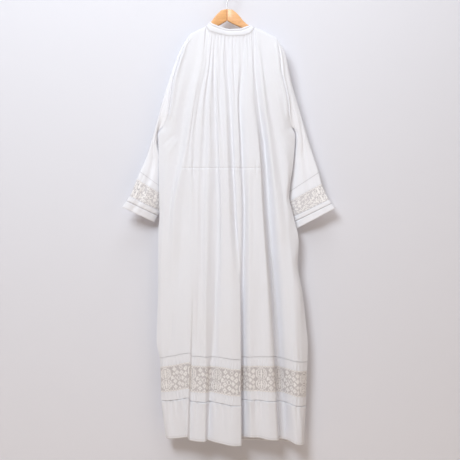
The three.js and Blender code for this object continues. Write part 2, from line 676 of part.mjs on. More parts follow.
// A stretch of a sleeve between ring numbers, all round or only its back or front half
function sleeveWall(sleeve, rings, options = {}) {
  const rows = rings.map((at, k) => {
    if (k === 0 && at > 0) return { at, sewn: at + HALF_SEAM / ringStep(sleeve, at, at + 1) };
    if (k === rings.length - 1 && at < CUFF_END) {
      return { at, sewn: at - HALF_SEAM / ringStep(sleeve, at - 1, at) };
    }
    return { at, sewn: at };
  });
  return clothWall({
    columns: sleeveColumns(),
    rows,
    pointAt: (column, row) => sleevePoint(sleeve, column, row.sewn),
    normalAt: (column, row) => sleeveNormal(sleeve, column, row.at),
    wrap: true,
    flip: sleeve.outwards.x < 0,
    ...options,
  });
}

// Half of a cut tube: the columns of one side, its two edges half a seam from the other half
function sleeveHalf(sleeve, key, rings, options = {}) {
  const last = RING_SHARES.length - 1;
  const towards = PANELS[key].towards;
  const columns = RING_SHARES.map((_, k) => ({ key: k === 0 || k === last ? 'back' : key, k }));
  const pointAt = (column, row) => {
    const point = sleevePoint(sleeve, column, row.sewn);
    if (column.k === 0 || column.k === last) point.y += towards * HALF_SEAM;
    return point;
  };
  return sleeveWall(sleeve, rings, {
    columns,
    pointAt,
    wrap: false,
    flip: (sleeve.outwards.x < 0) !== (key === 'front'),
    ...options,
  });
}

// Round-topped section of a hanger arm: depth out of its middle, height and which end it hangs from
const ARM_SECTION = [
  { out: 0, from: 'top', by: 0 },
  { out: 2.2, from: 'top', by: -1.4 },
  { out: 4.6, from: 'top', by: -4.4 },
  { out: ARM_HALF_THICKNESS, from: 'top', by: -9 },
  { out: ARM_HALF_THICKNESS, from: 'bottom', by: 2 },
  { out: 4.5, from: 'bottom', by: 0 },
  { out: -4.5, from: 'bottom', by: 0 },
  { out: -ARM_HALF_THICKNESS, from: 'bottom', by: 2 },
  { out: -ARM_HALF_THICKNESS, from: 'top', by: -9 },
  { out: -4.6, from: 'top', by: -4.4 },
  { out: -2.2, from: 'top', by: -1.4 },
];

function hangerArmGeometry(side) {
  const stations = [HALF_SEAM, ...ARM_STATIONS.slice(1).filter((at) => at < ARM_END), ARM_END];
  const positions = [];
  const triangles = [];
  const count = ARM_SECTION.length;
  stations.forEach((at, k) => {
    const across = side * at;
    const shrink = k === stations.length - 1 ? ARM_END_SHRINK : 1;
    const top = armTop(across);
    const bottom = armBottom(across);
    const middle = (top + bottom) / 2;
    ARM_SECTION.forEach(({ out, from, by }) => {
      const height = (from === 'top' ? top : bottom) + by;
      positions.push(across, ARM_FORWARD * at + out * shrink, middle + (height - middle) * shrink);
    });
  });
  const addTriangle = (a, b, c) => {
    if (side > 0) triangles.push(a, c, b);
    else triangles.push(a, b, c);
  };
  for (let k = 0; k < stations.length - 1; k += 1) {
    for (let n = 0; n < count; n += 1) {
      const m = (n + 1) % count;
      const here = k * count;
      const there = here + count;
      addTriangle(here + n, here + m, there + m);
      addTriangle(here + n, there + m, there + n);
    }
  }
  const end = (stations.length - 1) * count;
  for (let n = 1; n < count - 1; n += 1) {
    addTriangle(0, n + 1, n);
    addTriangle(end, end + n, end + n + 1);
  }
  const geometry = new THREE.BufferGeometry();
  geometry.setAttribute('position', new THREE.Float32BufferAttribute(positions, 3));
  geometry.setIndex(triangles);
  geometry.computeVertexNormals();
  return geometry;
}

// Steel wire: a straight shank out of the wood, then an open bow round the origin's peg
function hookGeometry() {
  const bow = HOOK_RADIUS + WIRE_RADIUS;
  const centre = -HOOK_RADIUS;
  const shankBottom = ARM_TOPS[0] + SEAM;
  const route = [
    new THREE.Vector3(0, 0, shankBottom),
    new THREE.Vector3(0, 0, shankBottom + SHANK_STRAIGHT),
    new THREE.Vector3(SHANK_LEAN, 0, centre - bow - SHANK_TO_BOW),
  ];
  for (let angle = HOOK_START_ANGLE; angle <= HOOK_END_ANGLE; angle += HOOK_ANGLE_STEP) {
    const turn = THREE.MathUtils.degToRad(angle);
    route.push(new THREE.Vector3(bow * Math.cos(turn), 0, centre + bow * Math.sin(turn)));
  }
  const wire = new THREE.Shape();
  for (let n = 0; n < WIRE_SIDES; n += 1) {
    const turn = (n * 2 * Math.PI) / WIRE_SIDES;
    const x = WIRE_RADIUS * Math.cos(turn);
    const y = WIRE_RADIUS * Math.sin(turn);
    if (n === 0) wire.moveTo(x, y);
    else wire.lineTo(x, y);
  }
  return new THREE.ExtrudeGeometry(wire, {
    steps: HOOK_STEPS,
    bevelEnabled: false,
    extrudePath: new THREE.CatmullRomCurve3(route),
  });
}

const linen = { color: 0xf1eff0, roughness: 0.85, metalness: 0 };
const lace = { color: 0xe4e0d8, roughness: 0.9, metalness: 0 };
const wood = { color: 0xe0a468, roughness: 0.5, metalness: 0 };
const steel = { color: 0xb9bdc0, roughness: 0.25, metalness: 1 };
const shell = { color: 0xece6da, roughness: 0.35, metalness: 0 };

const smock = new THREE.Group();
function addPiece(name, geometry, finish) {
  const mesh = new THREE.Mesh(geometry, new THREE.MeshStandardMaterial(finish));
  mesh.name = name;
  smock.add(mesh);
  return mesh;
}

// Body, from the shoulders down
const slitColumn = panelColumns(PANELS.front).indexOf(SLIT_FOLD);
const slitRow = PANEL_ROWS.indexOf(SLIT_BOTTOM);
addPiece('back_panel', panelWall(PANELS.back, PANEL_ROWS), linen);
addPiece('front_panel', panelWall(PANELS.front, PANEL_ROWS, {
  isOpen: (i, j) => i === slitColumn && j < slitRow,
}), linen);
addPiece('neckband', neckbandGeometry(), linen);

Object.values(PANELS).forEach((panel) => {
  const laceRows = [LACE_TOP, THREE.MathUtils.lerp(LACE_TOP, LACE_BOTTOM, 1 / 3),
    THREE.MathUtils.lerp(LACE_TOP, LACE_BOTTOM, 2 / 3), LACE_BOTTOM];
  addPiece(`hem_strip_upper_${panel.key}`, panelWall(panel, [BAND_TOP, LACE_TOP]), linen);
  addPiece(`hem_lace_${panel.key}`, panelWall(panel, laceRows, { holeOf: chequered(HEM_HOLE) }), lace);
  addPiece(`hem_strip_lower_${panel.key}`, panelWall(panel, [LACE_BOTTOM, BAND_BOTTOM]), linen);
  addPiece(`flounce_${panel.key}`, panelWall(panel, [BAND_BOTTOM, (BAND_BOTTOM + HEM) / 2, HEM]), linen);
});

// Sleeves, from the armhole to the wrist
Object.entries(SLEEVES).forEach(([side, sleeve]) => {
  addPiece(`sleeve_${side}`, sleeveWall(sleeve, [0, 1, 2, 3, 4, 5, SLEEVE_END]), linen);
  addPiece(`sleeve_strip_${side}`, sleeveWall(sleeve, [SLEEVE_END, CUFF_LACE_TOP]), linen);
  const laceRings = [CUFF_LACE_TOP, (CUFF_LACE_TOP + CUFF_LACE_BOTTOM) / 2, CUFF_LACE_BOTTOM];
  Object.keys(PANELS).forEach((key) => {
    const half = sleeveHalf(sleeve, key, laceRings, { holeOf: chequered(CUFF_HOLE) });
    addPiece(`sleeve_lace_${side}_${key}`, half, lace);
  });
  addPiece(`cuff_${side}`, sleeveWall(sleeve, [CUFF_LACE_BOTTOM, CUFF_STITCHING, CUFF_END]), linen);
});

// The band's one small button, beside the slit
const button = addPiece(
  'neck_button',
  new THREE.CylinderGeometry(BUTTON_RADIUS, BUTTON_RADIUS, BUTTON_THICKNESS, BUTTON_SIDES),
  shell,
);
const buttonSeat = neckbandPoint({ panel: PANELS.front, place: BUTTON_FOLD }, 0.5);
const buttonOut = WALL / 2 + SEAM + BAND_BULGE / 2 + BUTTON_THICKNESS / 2;
button.position.set(buttonSeat.x, buttonSeat.y + buttonOut, buttonSeat.z);

addPiece('hanger_arm_left', hangerArmGeometry(-1), wood);
addPiece('hanger_arm_right', hangerArmGeometry(1), wood);
addPiece('hanger_hook', hookGeometry(), steel);

export default smock;
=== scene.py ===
"""A floor-length linen smock with lace insertions on a small wooden hanger, dressed over its solids."""
import json
import math

import bpy
import numpy as np
from bpy.props import FloatProperty, FloatVectorProperty, IntProperty, PointerProperty
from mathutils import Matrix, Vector

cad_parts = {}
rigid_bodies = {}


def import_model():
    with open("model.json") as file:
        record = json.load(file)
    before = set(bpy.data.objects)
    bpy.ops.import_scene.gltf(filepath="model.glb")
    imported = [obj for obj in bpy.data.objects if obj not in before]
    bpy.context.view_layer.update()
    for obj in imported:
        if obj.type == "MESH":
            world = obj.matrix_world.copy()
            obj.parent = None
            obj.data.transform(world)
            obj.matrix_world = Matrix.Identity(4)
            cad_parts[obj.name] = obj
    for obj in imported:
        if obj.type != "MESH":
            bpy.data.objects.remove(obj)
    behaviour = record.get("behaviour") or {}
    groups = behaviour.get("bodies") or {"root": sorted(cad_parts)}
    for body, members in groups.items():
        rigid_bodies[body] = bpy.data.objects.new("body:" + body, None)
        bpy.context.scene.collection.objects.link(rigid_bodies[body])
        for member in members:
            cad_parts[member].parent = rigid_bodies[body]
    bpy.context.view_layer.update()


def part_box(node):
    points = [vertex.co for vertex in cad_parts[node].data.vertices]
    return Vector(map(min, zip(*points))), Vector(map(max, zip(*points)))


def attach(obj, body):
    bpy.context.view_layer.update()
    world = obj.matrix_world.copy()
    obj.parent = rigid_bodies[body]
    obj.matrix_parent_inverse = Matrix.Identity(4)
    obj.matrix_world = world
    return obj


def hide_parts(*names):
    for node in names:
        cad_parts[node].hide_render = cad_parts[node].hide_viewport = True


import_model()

bl_info = {
    "name": "Linen smock on a hanger",
    "version": (1, 0, 0),
    "blender": (4, 5, 0),
    "location": "View3D > Sidebar > Smock",
    "description": "Adds the smock's cloth, lace and stitching, its hanger and a plain studio",
    "category": "Add Mesh",
}

MM = 0.001

# The frame's own measures in millimetres: X across, -Y out of the smock's back, Z up
SEAM = 0.3
HALF_SEAM = SEAM / 2
CLOTH_LIFT = 1.1  # cloth's middle above the hanger arm
NECK_LINE, CHEST, BACK, UNDERARM, WAIST, HIP, KNEE = -166, -266, -399, -495, -574, -801, -1099
BAND_TOP, LACE_TOP, LACE_BOTTOM, BAND_BOTTOM, HEM = -1298, -1330, -1422, -1454, -1590
LEVELS = [NECK_LINE, CHEST, BACK, WAIST, HIP, KNEE, HEM]
ARM_STATIONS = [0, 20, 35, 49, 58, 66, 76, 98, 112, 122, 130, 168, 175]
ARM_TOPS = [-76, -80, -93, -110, -122, -130, -138, -147.5, -154.3, -159.4, -163.5, -184.7, -192.5]
ARM_BOTTOMS = [-117.5, -129, -137, -144, -150, -156, -163, -173, -179, -182, -186, -190, -192]
ARM_TILT = 0.037
ARM_FORWARD = -0.08
ARM_END = 126
ARM_END_SHARE = 0.7
ARM_HALF_THICKNESS = 6
ARM_ROUNDING = 3.2
HOOK_RADIUS = 20
WIRE_RADIUS = 1.6
BAND_BULGE, BAND_GROOVE = 0.8, 1.9
GATHER_DEPTH, GATHER_WIDTH, GATHER_LENGTH = 2.3, 1.6, 1.5
CREASE_DEPTH, CREASE_ENDS = 1.4, 0.7
PLEAT_DEPTH, PLEAT_LENGTH = 2.8, 1.4
ARMHOLE_SWELL = 4.2  # how far the cloth rolls up on each side of the armhole seam
ROLL_WIDTH, SLEEVE_ROLL = 7, 0.3  # from the armhole seam to the roll's crest: in the body, and in rings
TACK_PUCKER, BAND_PUCKER, CUFF_PUCKER = 0.9, 1.7, 0.35
HALF_STITCHING = 1.5  # half the height of a line of drawn-thread stitching
STITCHING_RING, SEAM_RING = 0.03, 0.01  # the same, and half a seam, as a share of a sleeve's ring

NECK_SEAM = {
    "back": (
        [-76, -73, -68, -61, -52, -25, 17, 54, 77, 84, 90, 95, 98],
        [-139.2, -141, -149, -157, -161, -168, -174, -173, -167, -162, -154, -145, -142.2],
    ),
    "front": (
        [-76, -73, -68, -61, -52, -25, 11, 54, 77, 84, 90, 95, 98],
        [-139.2, -141, -149, -159, -166, -177, -184, -178, -169, -163, -154, -145, -142.2],
    ),
}
BAND_EDGE = {
    "bottom_across": [-76, -73, -68, -61, -52, -33, 14, 54, 77, 84, 90, 95, 98],
    "top_across": [-58, -56, -53, -48, -42, -27, 12, 43, 64, 70, 75, 79, 81],
    "out": [0, 7.8, 10, 12, 13, 13.5, 14, 14, 13, 12, 10, 7.8, 0],
    "back": [-122.4, -124.4, -128.5, -131.5, -134, -140, -149.5, -148.5, -142, -140, -138.5, -137, -135.8],
    "front": [-122.4, -124.4, -129, -134, -139, -148, -158, -153, -144, -141, -139, -137, -135.8],
}
OUTLINE = {
    "left": (
        [-166, -187, -208, -235, -267, -303, -330, -369, -416, -462, -495, -520,
         -574, -679, -802, -872, -1064, -1239, -1309, -1449, -1519, -1590],
        [-130, -135, -150, -158, -170, -181, -188, -194, -200, -210, -228, -242,
         -241, -240, -238, -242, -243, -248, -236, -231, -224, -215],
    ),
    "right": (
        [-166, -242, -294, -336, -399, -462, -495, -520, -574, -637, -696, -738,
         -780, -822, -889, -966, -1064, -1152, -1239, -1379, -1484, -1590],
        [175, 186, 190, 200, 214, 220, 229, 240, 237, 231, 222, 219,
         228, 238, 252, 249, 266, 276, 284, 280, 276, 271],
    ),
}
ARMHOLE_LEVELS = [NECK_LINE, -168, -176, -230, CHEST, BACK, -450, -482, UNDERARM]
ARMHOLE_HALF_GAP = [HALF_SEAM, 7.8, 9.5, 9.5, 9, 8.5, 7, 3.4, HALF_SEAM]

# Each fold line from neck to hem: place across and out at each of LEVELS, then how far the stitched
# band and the hem sink below level there
BACK_FOLDS = [
    ([-130, -175, -194, -234, -238, -243, -215], [0, 9, 9, 0, 0, 0, 0], 6, -4),
    ([-114, -158, -175, -203, -220, -233, -200], [10, 13, 14, 12, 10, 8, 14], 4, -4),
    ([-96, -116, -147, -168, -203, -217, -178], [10, 12, 11, 10, 9, 11, 17], 0, -6),
    ([-76, -91, -117, -144, -186, -192, -161], [12, 16, 20, 22, 20, 16, 24], -4, -9),
    ([-73, -82, -110, -133, -152, -172, -149], [8.3, 15, 18.4, 19, 17, 20, 30], -9, -12),
    ([-68, -77, -103, -126, -126, -127, -139], [10.5, 15, 18, 20, 20.5, 28, 40], -15, -16),
    ([-61, -71, -96, -114, -114, -117, -130], [13, 14, 16, 16, 19.5, 25.5, 26], -3, -1),
    ([-56, -64, -84, -96, -103, -105, -112], [13.5, 15.5, 18, 18, 21, 25, 32], -3, 1),
    ([-52, -59, -74, -80, -89, -89, -93], [13.5, 13, 13.5, 12, 17, 24, 37], -2, 2),
    ([-48, -52, -60, -63, -70, -72, -77], [13.5, 16, 19, 21, 25, 31, 38], -1, 2),
    ([-44, -46, -44, -38, -32, -40, -70], [14, 10.5, 10, 9.5, 11, 15, 17], 0, -1),
    ([-33, -35, -34, -26, -18, -21, -46], [14, 16, 17, 21, 26, 28, 33], 0, 3),
    ([-23, -24, -25, -14, -6, -4, -16], [14, 14, 12.5, 20, 27, 34, 43], 2, 8),
    ([-10, -12, -7, 1, 7, 18, 19], [14.5, 17, 20, 23, 28, 38, 50], 6, 14),
    ([1, 1, 10, 18, 29, 47, 50], [14.5, 11, 11, 11, 13, 31, 42], 8, 15),
    ([16, 16, 22, 27, 36, 48, 50], [15, 16, 18.5, 20, 21, 25, 33], 7, 10),
    ([28, 27, 29, 34, 42, 50, 49], [15, 13.5, 17.5, 21, 22, 19, 24], 5, 2),
    ([40, 40, 36, 43, 50, 51, 48], [15, 16, 18.5, 20, 20, 13, 15], 3, -6),
    ([54, 54, 45, 52, 60, 55, 52], [15, 11.5, 9, 8, 8, 8, 7], 1, -10),
    ([67, 69, 70, 79, 78, 79, 84], [15, 17, 20, 25, 30, 34, 37], -1, -13),
    ([77, 80, 83, 98, 100, 102, 107], [14.5, 15.5, 20, 25, 31, 33, 33], -2, -12),
    ([84, 88, 93, 112, 123, 140, 152], [13.5, 15, 17, 24, 31, 40, 45], -3, -5),
    ([90, 92, 102, 121, 134, 152, 175], [11.3, 11, 10, 10, 14, 30, 40], -3, -4),
    ([95, 97, 109, 132, 145, 165, 186], [8.3, 8, 5, -1, -4, -7, -8], 4, 0),
    ([98, 116, 130, 152, 180, 202, 218], [12, 15, 19, 20, 21, 16, 14], 9, 4),
    ([119, 128, 147, 178, 205, 234, 243], [10, 10.5, 10, 9, 12, 26, 32], 15, 13),
    ([147, 161, 180, 205, 220, 256, 259], [10, 13, 15, 13, 9, 18, 27], 18, 16),
    ([175, 187, 214, 233, 229, 270, 271], [0, 9, 9, 0, 0, 0, 0], 20, 18),
]
FRONT_FOLDS = [
    ([-130, -175, -194, -234, -238, -243, -215], [0, 9, 9, 0, 0, 0, 0], 6, -4),
    ([-112, -150, -178, -205, -205, -205, -190], [10, 11, 11, 7, 6, 14, 22], 6, -3),
    ([-94, -115, -140, -165, -165, -165, -150], [10, 12, 12, 10, 9, 12, 17], 7, -2),
    ([-76, -90, -108, -120, -125, -128, -112], [12, 15, 17, 18, 20, 26, 36], 8, 2),
    ([-73, -74, -80, -87, -88, -92, -76], [8.3, 13, 13, 12, 12, 14, 18], 9, 0),
    ([-61, -58, -62, -66, -68, -72, -56], [12.5, 14, 15, 15, 16, 20, 28], 9, 4),
    ([-44, -42, -45, -48, -50, -54, -40], [13, 15, 17, 19, 21, 27, 38], 10, 6),
    ([-15, -16, -18, -20, -18, -20, -8], [13, 13.5, 14, 14, 14, 15, 19], 11, 4),
    ([9.5, 9.5, 9.5, 9.5, 10, 12, 18], [13, 15, 16.5, 18, 20, 26, 34], 12, 8),
    ([12.5, 12.5, 12.5, 12.5, 14, 18, 26], [13, 15, 16.5, 18, 20, 26, 34], 12, 8),
    ([38, 38, 40, 44, 48, 52, 58], [13, 13.5, 14, 13, 13, 14, 17], 13, 7),
    ([64, 68, 72, 80, 86, 94, 100], [13, 15, 17, 19, 21, 28, 38], 14, 11),
    ([84, 84, 90, 99, 105, 115, 120], [12.5, 14, 15, 15, 16, 20, 28], 15, 10),
    ([95, 99, 108, 119, 124, 136, 140], [8.3, 12.5, 13, 12, 12, 14, 18], 16, 9),
    ([98, 118, 138, 155, 158, 175, 180], [12, 13.5, 15, 16, 17, 25, 35], 17, 13),
    ([125, 150, 175, 190, 190, 215, 218], [10, 12, 12, 9, 8, 13, 18], 18, 14),
    ([150, 170, 196, 215, 212, 245, 250], [10, 11, 10, 6, 5, 12, 20], 19, 17),
    ([175, 187, 214, 233, 229, 270, 271], [0, 9, 9, 0, 0, 0, 0], 20, 18),
]
SIDE_CLEARANCE = 11
SIDE_FOLDS = 3
SLIT_FOLD = 8

# Small gathers below the neckband: place along the seam, width, depth and length of each trough
GATHERS = {
    "back": [
        (-70, 1.6, 0.9, 60), (-64.5, 1.8, 1.3, 95), (-58, 1.5, 0.9, 50), (-50, 1.6, 1.2, 120),
        (-46, 1.3, 0.8, 45), (-39, 1.9, 1.5, 110), (-28.5, 1.8, 1.3, 80), (-18, 1.7, 1.2, 65),
        (-14, 1.3, 0.7, 40), (-5, 1.9, 1.5, 105), (7, 1.7, 1.2, 70), (11, 1.3, 0.8, 45),
        (22, 1.8, 1.5, 125), (34, 1.9, 1.3, 90), (45, 1.7, 1.2, 70), (49.5, 1.4, 1.0, 100),
        (59, 1.8, 1.5, 115), (63, 1.4, 1.0, 60), (72, 1.8, 1.4, 130), (80, 1.5, 1.0, 75),
        (87, 1.5, 1.1, 90), (92.5, 1.3, 0.8, 55),
    ],
    "front": [
        (-69, 1.7, 1.1, 80), (-64, 1.5, 0.9, 50), (-56, 1.8, 1.4, 115), (-50, 1.5, 1.0, 65),
        (-37, 1.9, 1.3, 95), (-30, 1.6, 1.0, 60), (-23, 1.8, 1.3, 105), (-8, 1.7, 1.1, 75),
        (-1, 1.4, 0.9, 50), (20, 1.8, 1.3, 90), (28, 1.6, 1.0, 60), (33, 1.5, 1.1, 110),
        (47, 1.9, 1.4, 85), (55, 1.6, 1.0, 55), (72, 1.8, 1.4, 120), (78, 1.5, 0.9, 60),
        (89, 1.6, 1.1, 90),
    ],
}

# Creases of the body: from (across, level) to (across, level), width and depth, ridges above 0
CREASES = {
    "back": [
        (-42, -850, -40, -1296, 4, -2.4), (-66, -960, -68, -1296, 4, -1.4),
        (128, -440, 228, -1900, 12, -8.0),
        (-60, -330, -52, -560, 5, -1.7), (-84, -300, -118, -520, 9, -1.3),
        (-140, -330, -166, -640, 14, -1.6), (-130, -640, -138, -900, 8, -1.3),
        (-155, -700, -176, -1120, 12, -1.6), (-206, -620, -214, -1000, 10, 1.1),
        (22, -240, 30, -420, 3.5, -1.4), (-36, -230, -30, -420, 3, -1.5),
        (-12, -210, -6, -330, 2.4, -1.5), (60, -420, 66, -720, 6, 1.3),
        (90, -640, 94, -980, 7, -1.5), (24, -720, 34, -1010, 5, -1.3),
        (-50, -700, -58, -1200, 8, -1.7), (-100, -1000, -104, -1290, 5, -1.8),
        (-92, -1120, -88, -1290, 4, 1.3), (112, -900, 124, -1290, 9, -1.4),
        (162, -560, 188, -860, 10, -1.4), (200, -640, 226, -980, 9, 1.4),
        (214, -1010, 232, -1280, 8, -1.5), (-190, -1150, -196, -1290, 7, -1.4),
        (-198, -330, -176, -520, 8, 1.3), (-150, -250, -190, -460, 7, -1.2),
        (150, -230, 186, -380, 8, -1.3), (168, -360, 202, -480, 6, 1.3),
        (-186, -516, -226, -560, 5, -1.7), (-168, -530, -216, -600, 6, 1.2),
        (192, -500, 228, -566, 6, -1.7), (176, -520, 214, -610, 6, 1.3),
        (-6, -430, 2, -700, 5, 1.1), (-80, -560, -92, -820, 6, 1.3),
        # tucks along the waist tacking
        (-121, -606, -119, -676, 3, -1.9), (-112, -614, -110, -660, 2.4, 1.3),
        (18, -608, 19, -668, 2.6, -1.7), (31, -612, 33, -656, 2.4, 1.3),
        (46, -604, 47, -676, 2.6, -1.7), (101, -606, 102, -672, 2.6, -1.6),
        (108, -612, 110, -658, 2.4, 1.2), (-60, -616, -59, -654, 2.6, -1.3),
        (-28, -620, -27, -650, 2.2, 1.0), (78, -616, 79, -656, 2.4, -1.2),
        # short gathers just above the stitched band
        (-96, -1236, -95, -1300, 3, -1.4), (-83, -1252, -82, -1300, 2.6, -1.2),
        (-66, -1244, -66, -1300, 2.8, -1.3), (-50, -1256, -50, -1300, 2.4, -1.1),
        (-206, -1262, -205, -1300, 3, -1.0), (8, -1258, 8, -1300, 2.6, -1.0),
        (92, -1250, 93, -1300, 2.8, -1.1), (222, -1244, 224, -1300, 3, -1.3),
        (238, -1232, 240, -1300, 2.8, -1.4), (254, -1250, 255, -1300, 2.6, -1.1),
    ],
    "front": [
        (-52, -330, -58, -600, 6, -1.6), (-88, -290, -112, -540, 9, -1.4),
        (-148, -330, -176, -660, 12, -1.5), (-96, -640, -104, -980, 8, -1.4),
        (-142, -760, -150, -1180, 11, -1.5), (26, -420, 30, -760, 6, -1.4),
        (56, -320, 62, -620, 5, 1.2), (-32, -560, -36, -960, 7, 1.3),
        (74, -700, 84, -1160, 8, -1.5), (138, -420, 148, -820, 9, -1.5),
        (172, -560, 178, -900, 9, 1.2), (196, -880, 220, -1270, 9, -1.5),
        (-12, -1020, -10, -1290, 5, -1.5), (112, -1040, 122, -1290, 6, 1.2),
        (-180, -1080, -178, -1290, 7, -1.4), (-176, -516, -222, -572, 5, -1.7),
        (186, -506, 224, -570, 6, -1.7), (150, -240, 188, -420, 8, -1.2),
        (-112, -608, -111, -672, 2.8, -1.7), (-30, -612, -29, -664, 2.6, -1.5),
        (34, -606, 35, -674, 2.6, -1.6), (96, -612, 97, -660, 2.6, -1.4),
        (-88, -1246, -88, -1300, 2.8, -1.2), (-24, -1252, -24, -1300, 2.6, -1.1),
        (64, -1240, 64, -1300, 2.8, -1.3), (176, -1248, 177, -1300, 3, -1.2),
    ],
}
WAIST_TACK = {"level": -637, "from": -166, "to": 132, "width": 2.2, "depth": 1.3, "fade": 12}

# Soft pleats of the flounce: place across at its seam, at its hem, width, depth and length
FLOUNCE_PLEATS = {
    "back": [
        (-216, -206, 5, -1.8, 60), (-196, -188, 6, -2.0, 85), (-176, -170, 4, -1.4, 45),
        (-158, -152, 4, 1.6, 70), (-146, -143, 4, -1.8, 60), (-128, -131, 4, -1.5, 50),
        (-104, -106, 5, -1.8, 90), (-84, -86, 5, 1.5, 60), (-60, -58, 4, -1.8, 80),
        (-38, -32, 5, -1.6, 55), (-14, -10, 6, -1.6, 100), (14, 16, 4, -1.5, 45),
        (66, 68, 4, -1.6, 70), (80, 84, 5, 1.7, 90), (98, 104, 4, -1.8, 60),
        (118, 128, 5, -1.5, 80), (142, 156, 5, 1.4, 60), (206, 212, 5, -1.7, 75),
        (226, 232, 5, 1.5, 60), (244, 248, 5, -1.7, 85), (262, 262, 4, -1.2, 50),
    ],
    "front": [
        (-206, -196, 5, -1.8, 75), (-182, -174, 5, 1.5, 60), (-160, -152, 5, -1.8, 90),
        (-134, -128, 4, -1.5, 55), (-104, -98, 5, 1.6, 70), (-84, -76, 5, -1.8, 85),
        (-58, -50, 4, -1.5, 50), (-30, -22, 5, -1.7, 80), (0, 6, 5, 1.5, 60),
        (34, 40, 5, -1.8, 90), (62, 68, 4, -1.5, 55), (88, 94, 5, 1.6, 75),
        (112, 118, 5, -1.7, 60), (140, 146, 5, -1.6, 85), (170, 176, 5, 1.5, 60),
        (204, 210, 5, -1.8, 80), (236, 240, 5, -1.6, 60), (256, 258, 4, 1.2, 45),
    ],
}

# Sleeves. Rings run from the armhole (0) to the wrist (9): outer edge, inner edge, depth at both,
# half the tube's thickness, how much of the armhole's curve it keeps and its long crease's depth
SLEEVES = {
    "left": {
        "fold_index": {"back": 0, "front": 0},
        "outwards": (-0.96, 0, 0.28),
        "underarm": (-229.9, -3, -494),
        "rings": [
            (-130, -166, -228, -495, -10, -3, 9, 1, 0),
            (-164, -220, -235, -499.5, -8, -0.5, 9, 0.45, 0),
            (-214, -357, -241, -506, -4, 4, 10, 0.2, 0),
            (-248, -476, -245, -518, 0, 8, 14, 0, 1),
            (-264, -532, -244, -550, 2, 15, 14, 0, 3),
            (-282, -592, -212, -645, 3, 25, 11, 0, 4),
            (-306, -649, -203, -724, -8, 29, 9, 0, 5),
            (-316, -674, -209, -742, -13, 28, 9, 0, 4.5),
            (-341, -736, -236, -788, -21, 26, 10, 0, 4),
            (-366, -774, -259, -826, -27, 23, 11, 0, 3),
        ],
    },
    "right": {
        "fold_index": {"back": 27, "front": 17},
        "outwards": (0.96, 0, 0.28),
        "underarm": (230.9, -3, -494),
        "rings": [
            (175, -186, 229, -495, -14, -3, 9, 1, 0),
            (200, -224, 236, -498, -11, 0, 9, 0.45, 0),
            (228, -343, 239.5, -506, -5, 4, 10, 0.2, 0),
            (259, -444, 242.5, -519, 2, 9, 12, 0, 1),
            (277, -505, 240, -556, 5, 17, 12, 0, 3),
            (296, -567, 216, -636, 7, 28, 10, 0, 4),
            (324, -651, 200, -732, 6, 30, 9, 0, 4),
            (334, -690, 203, -763, 5, 29, 9, 0, 3.5),
            (360, -747, 228, -810, 2, 28, 9, 0, 3),
            (381, -777, 246, -850, 0, 26, 9, 0, 2),
        ],
    },
}
ARMHOLE_ROWS = [-166, -168, -176, -198, -230, CHEST, -330, BACK, -450, -482, UNDERARM]
RING_SHARES = [0, 0.02, 0.06, 0.13, 0.24, 0.38, 0.53, 0.68, 0.82, 0.93, 1]
SLEEVE_END, CUFF_LACE_TOP, CUFF_LACE_BOTTOM, CUFF_STITCHING, CUFF_END = 6, 7, 8, 8.4, 9
CREASE_PLACE, CREASE_WIDTH, SWELL_POWER = 0.3, 0.09, 0.6

# Creases of a sleeve: from (share across, ring) to (share, ring), width as a share, depth
SLEEVE_CREASES = {
    "back": [
        (0.95, 2.6, 0.4, 4.6, 0.05, -1.9), (0.8, 3.4, 0.55, 5.7, 0.06, 1.5),
        (0.12, 1.6, 0.2, 4.2, 0.05, -1.5), (0.6, 4.4, 0.72, 6.6, 0.05, -1.5),
        (0.85, 4.8, 0.88, 6.9, 0.05, 1.2), (0.45, 5.2, 0.42, 7.6, 0.06, 1.3),
        (0.62, 1.0, 0.5, 2.8, 0.05, -1.2), (0.15, 5.0, 0.12, 8.2, 0.05, -1.3),
        (0.55, 8.0, 0.52, 9.0, 0.05, -1.2), (0.78, 7.9, 0.8, 8.8, 0.04, -1.0),
    ],
    "front": [
        (0.9, 2.8, 0.35, 4.8, 0.05, -1.8), (0.75, 3.6, 0.5, 5.9, 0.06, 1.4),
        (0.2, 1.8, 0.25, 4.4, 0.05, -1.4), (0.65, 4.8, 0.7, 7.0, 0.05, -1.5),
        (0.4, 5.6, 0.38, 8.4, 0.06, -1.2), (0.12, 4.6, 0.16, 7.4, 0.05, 1.2),
    ],
}

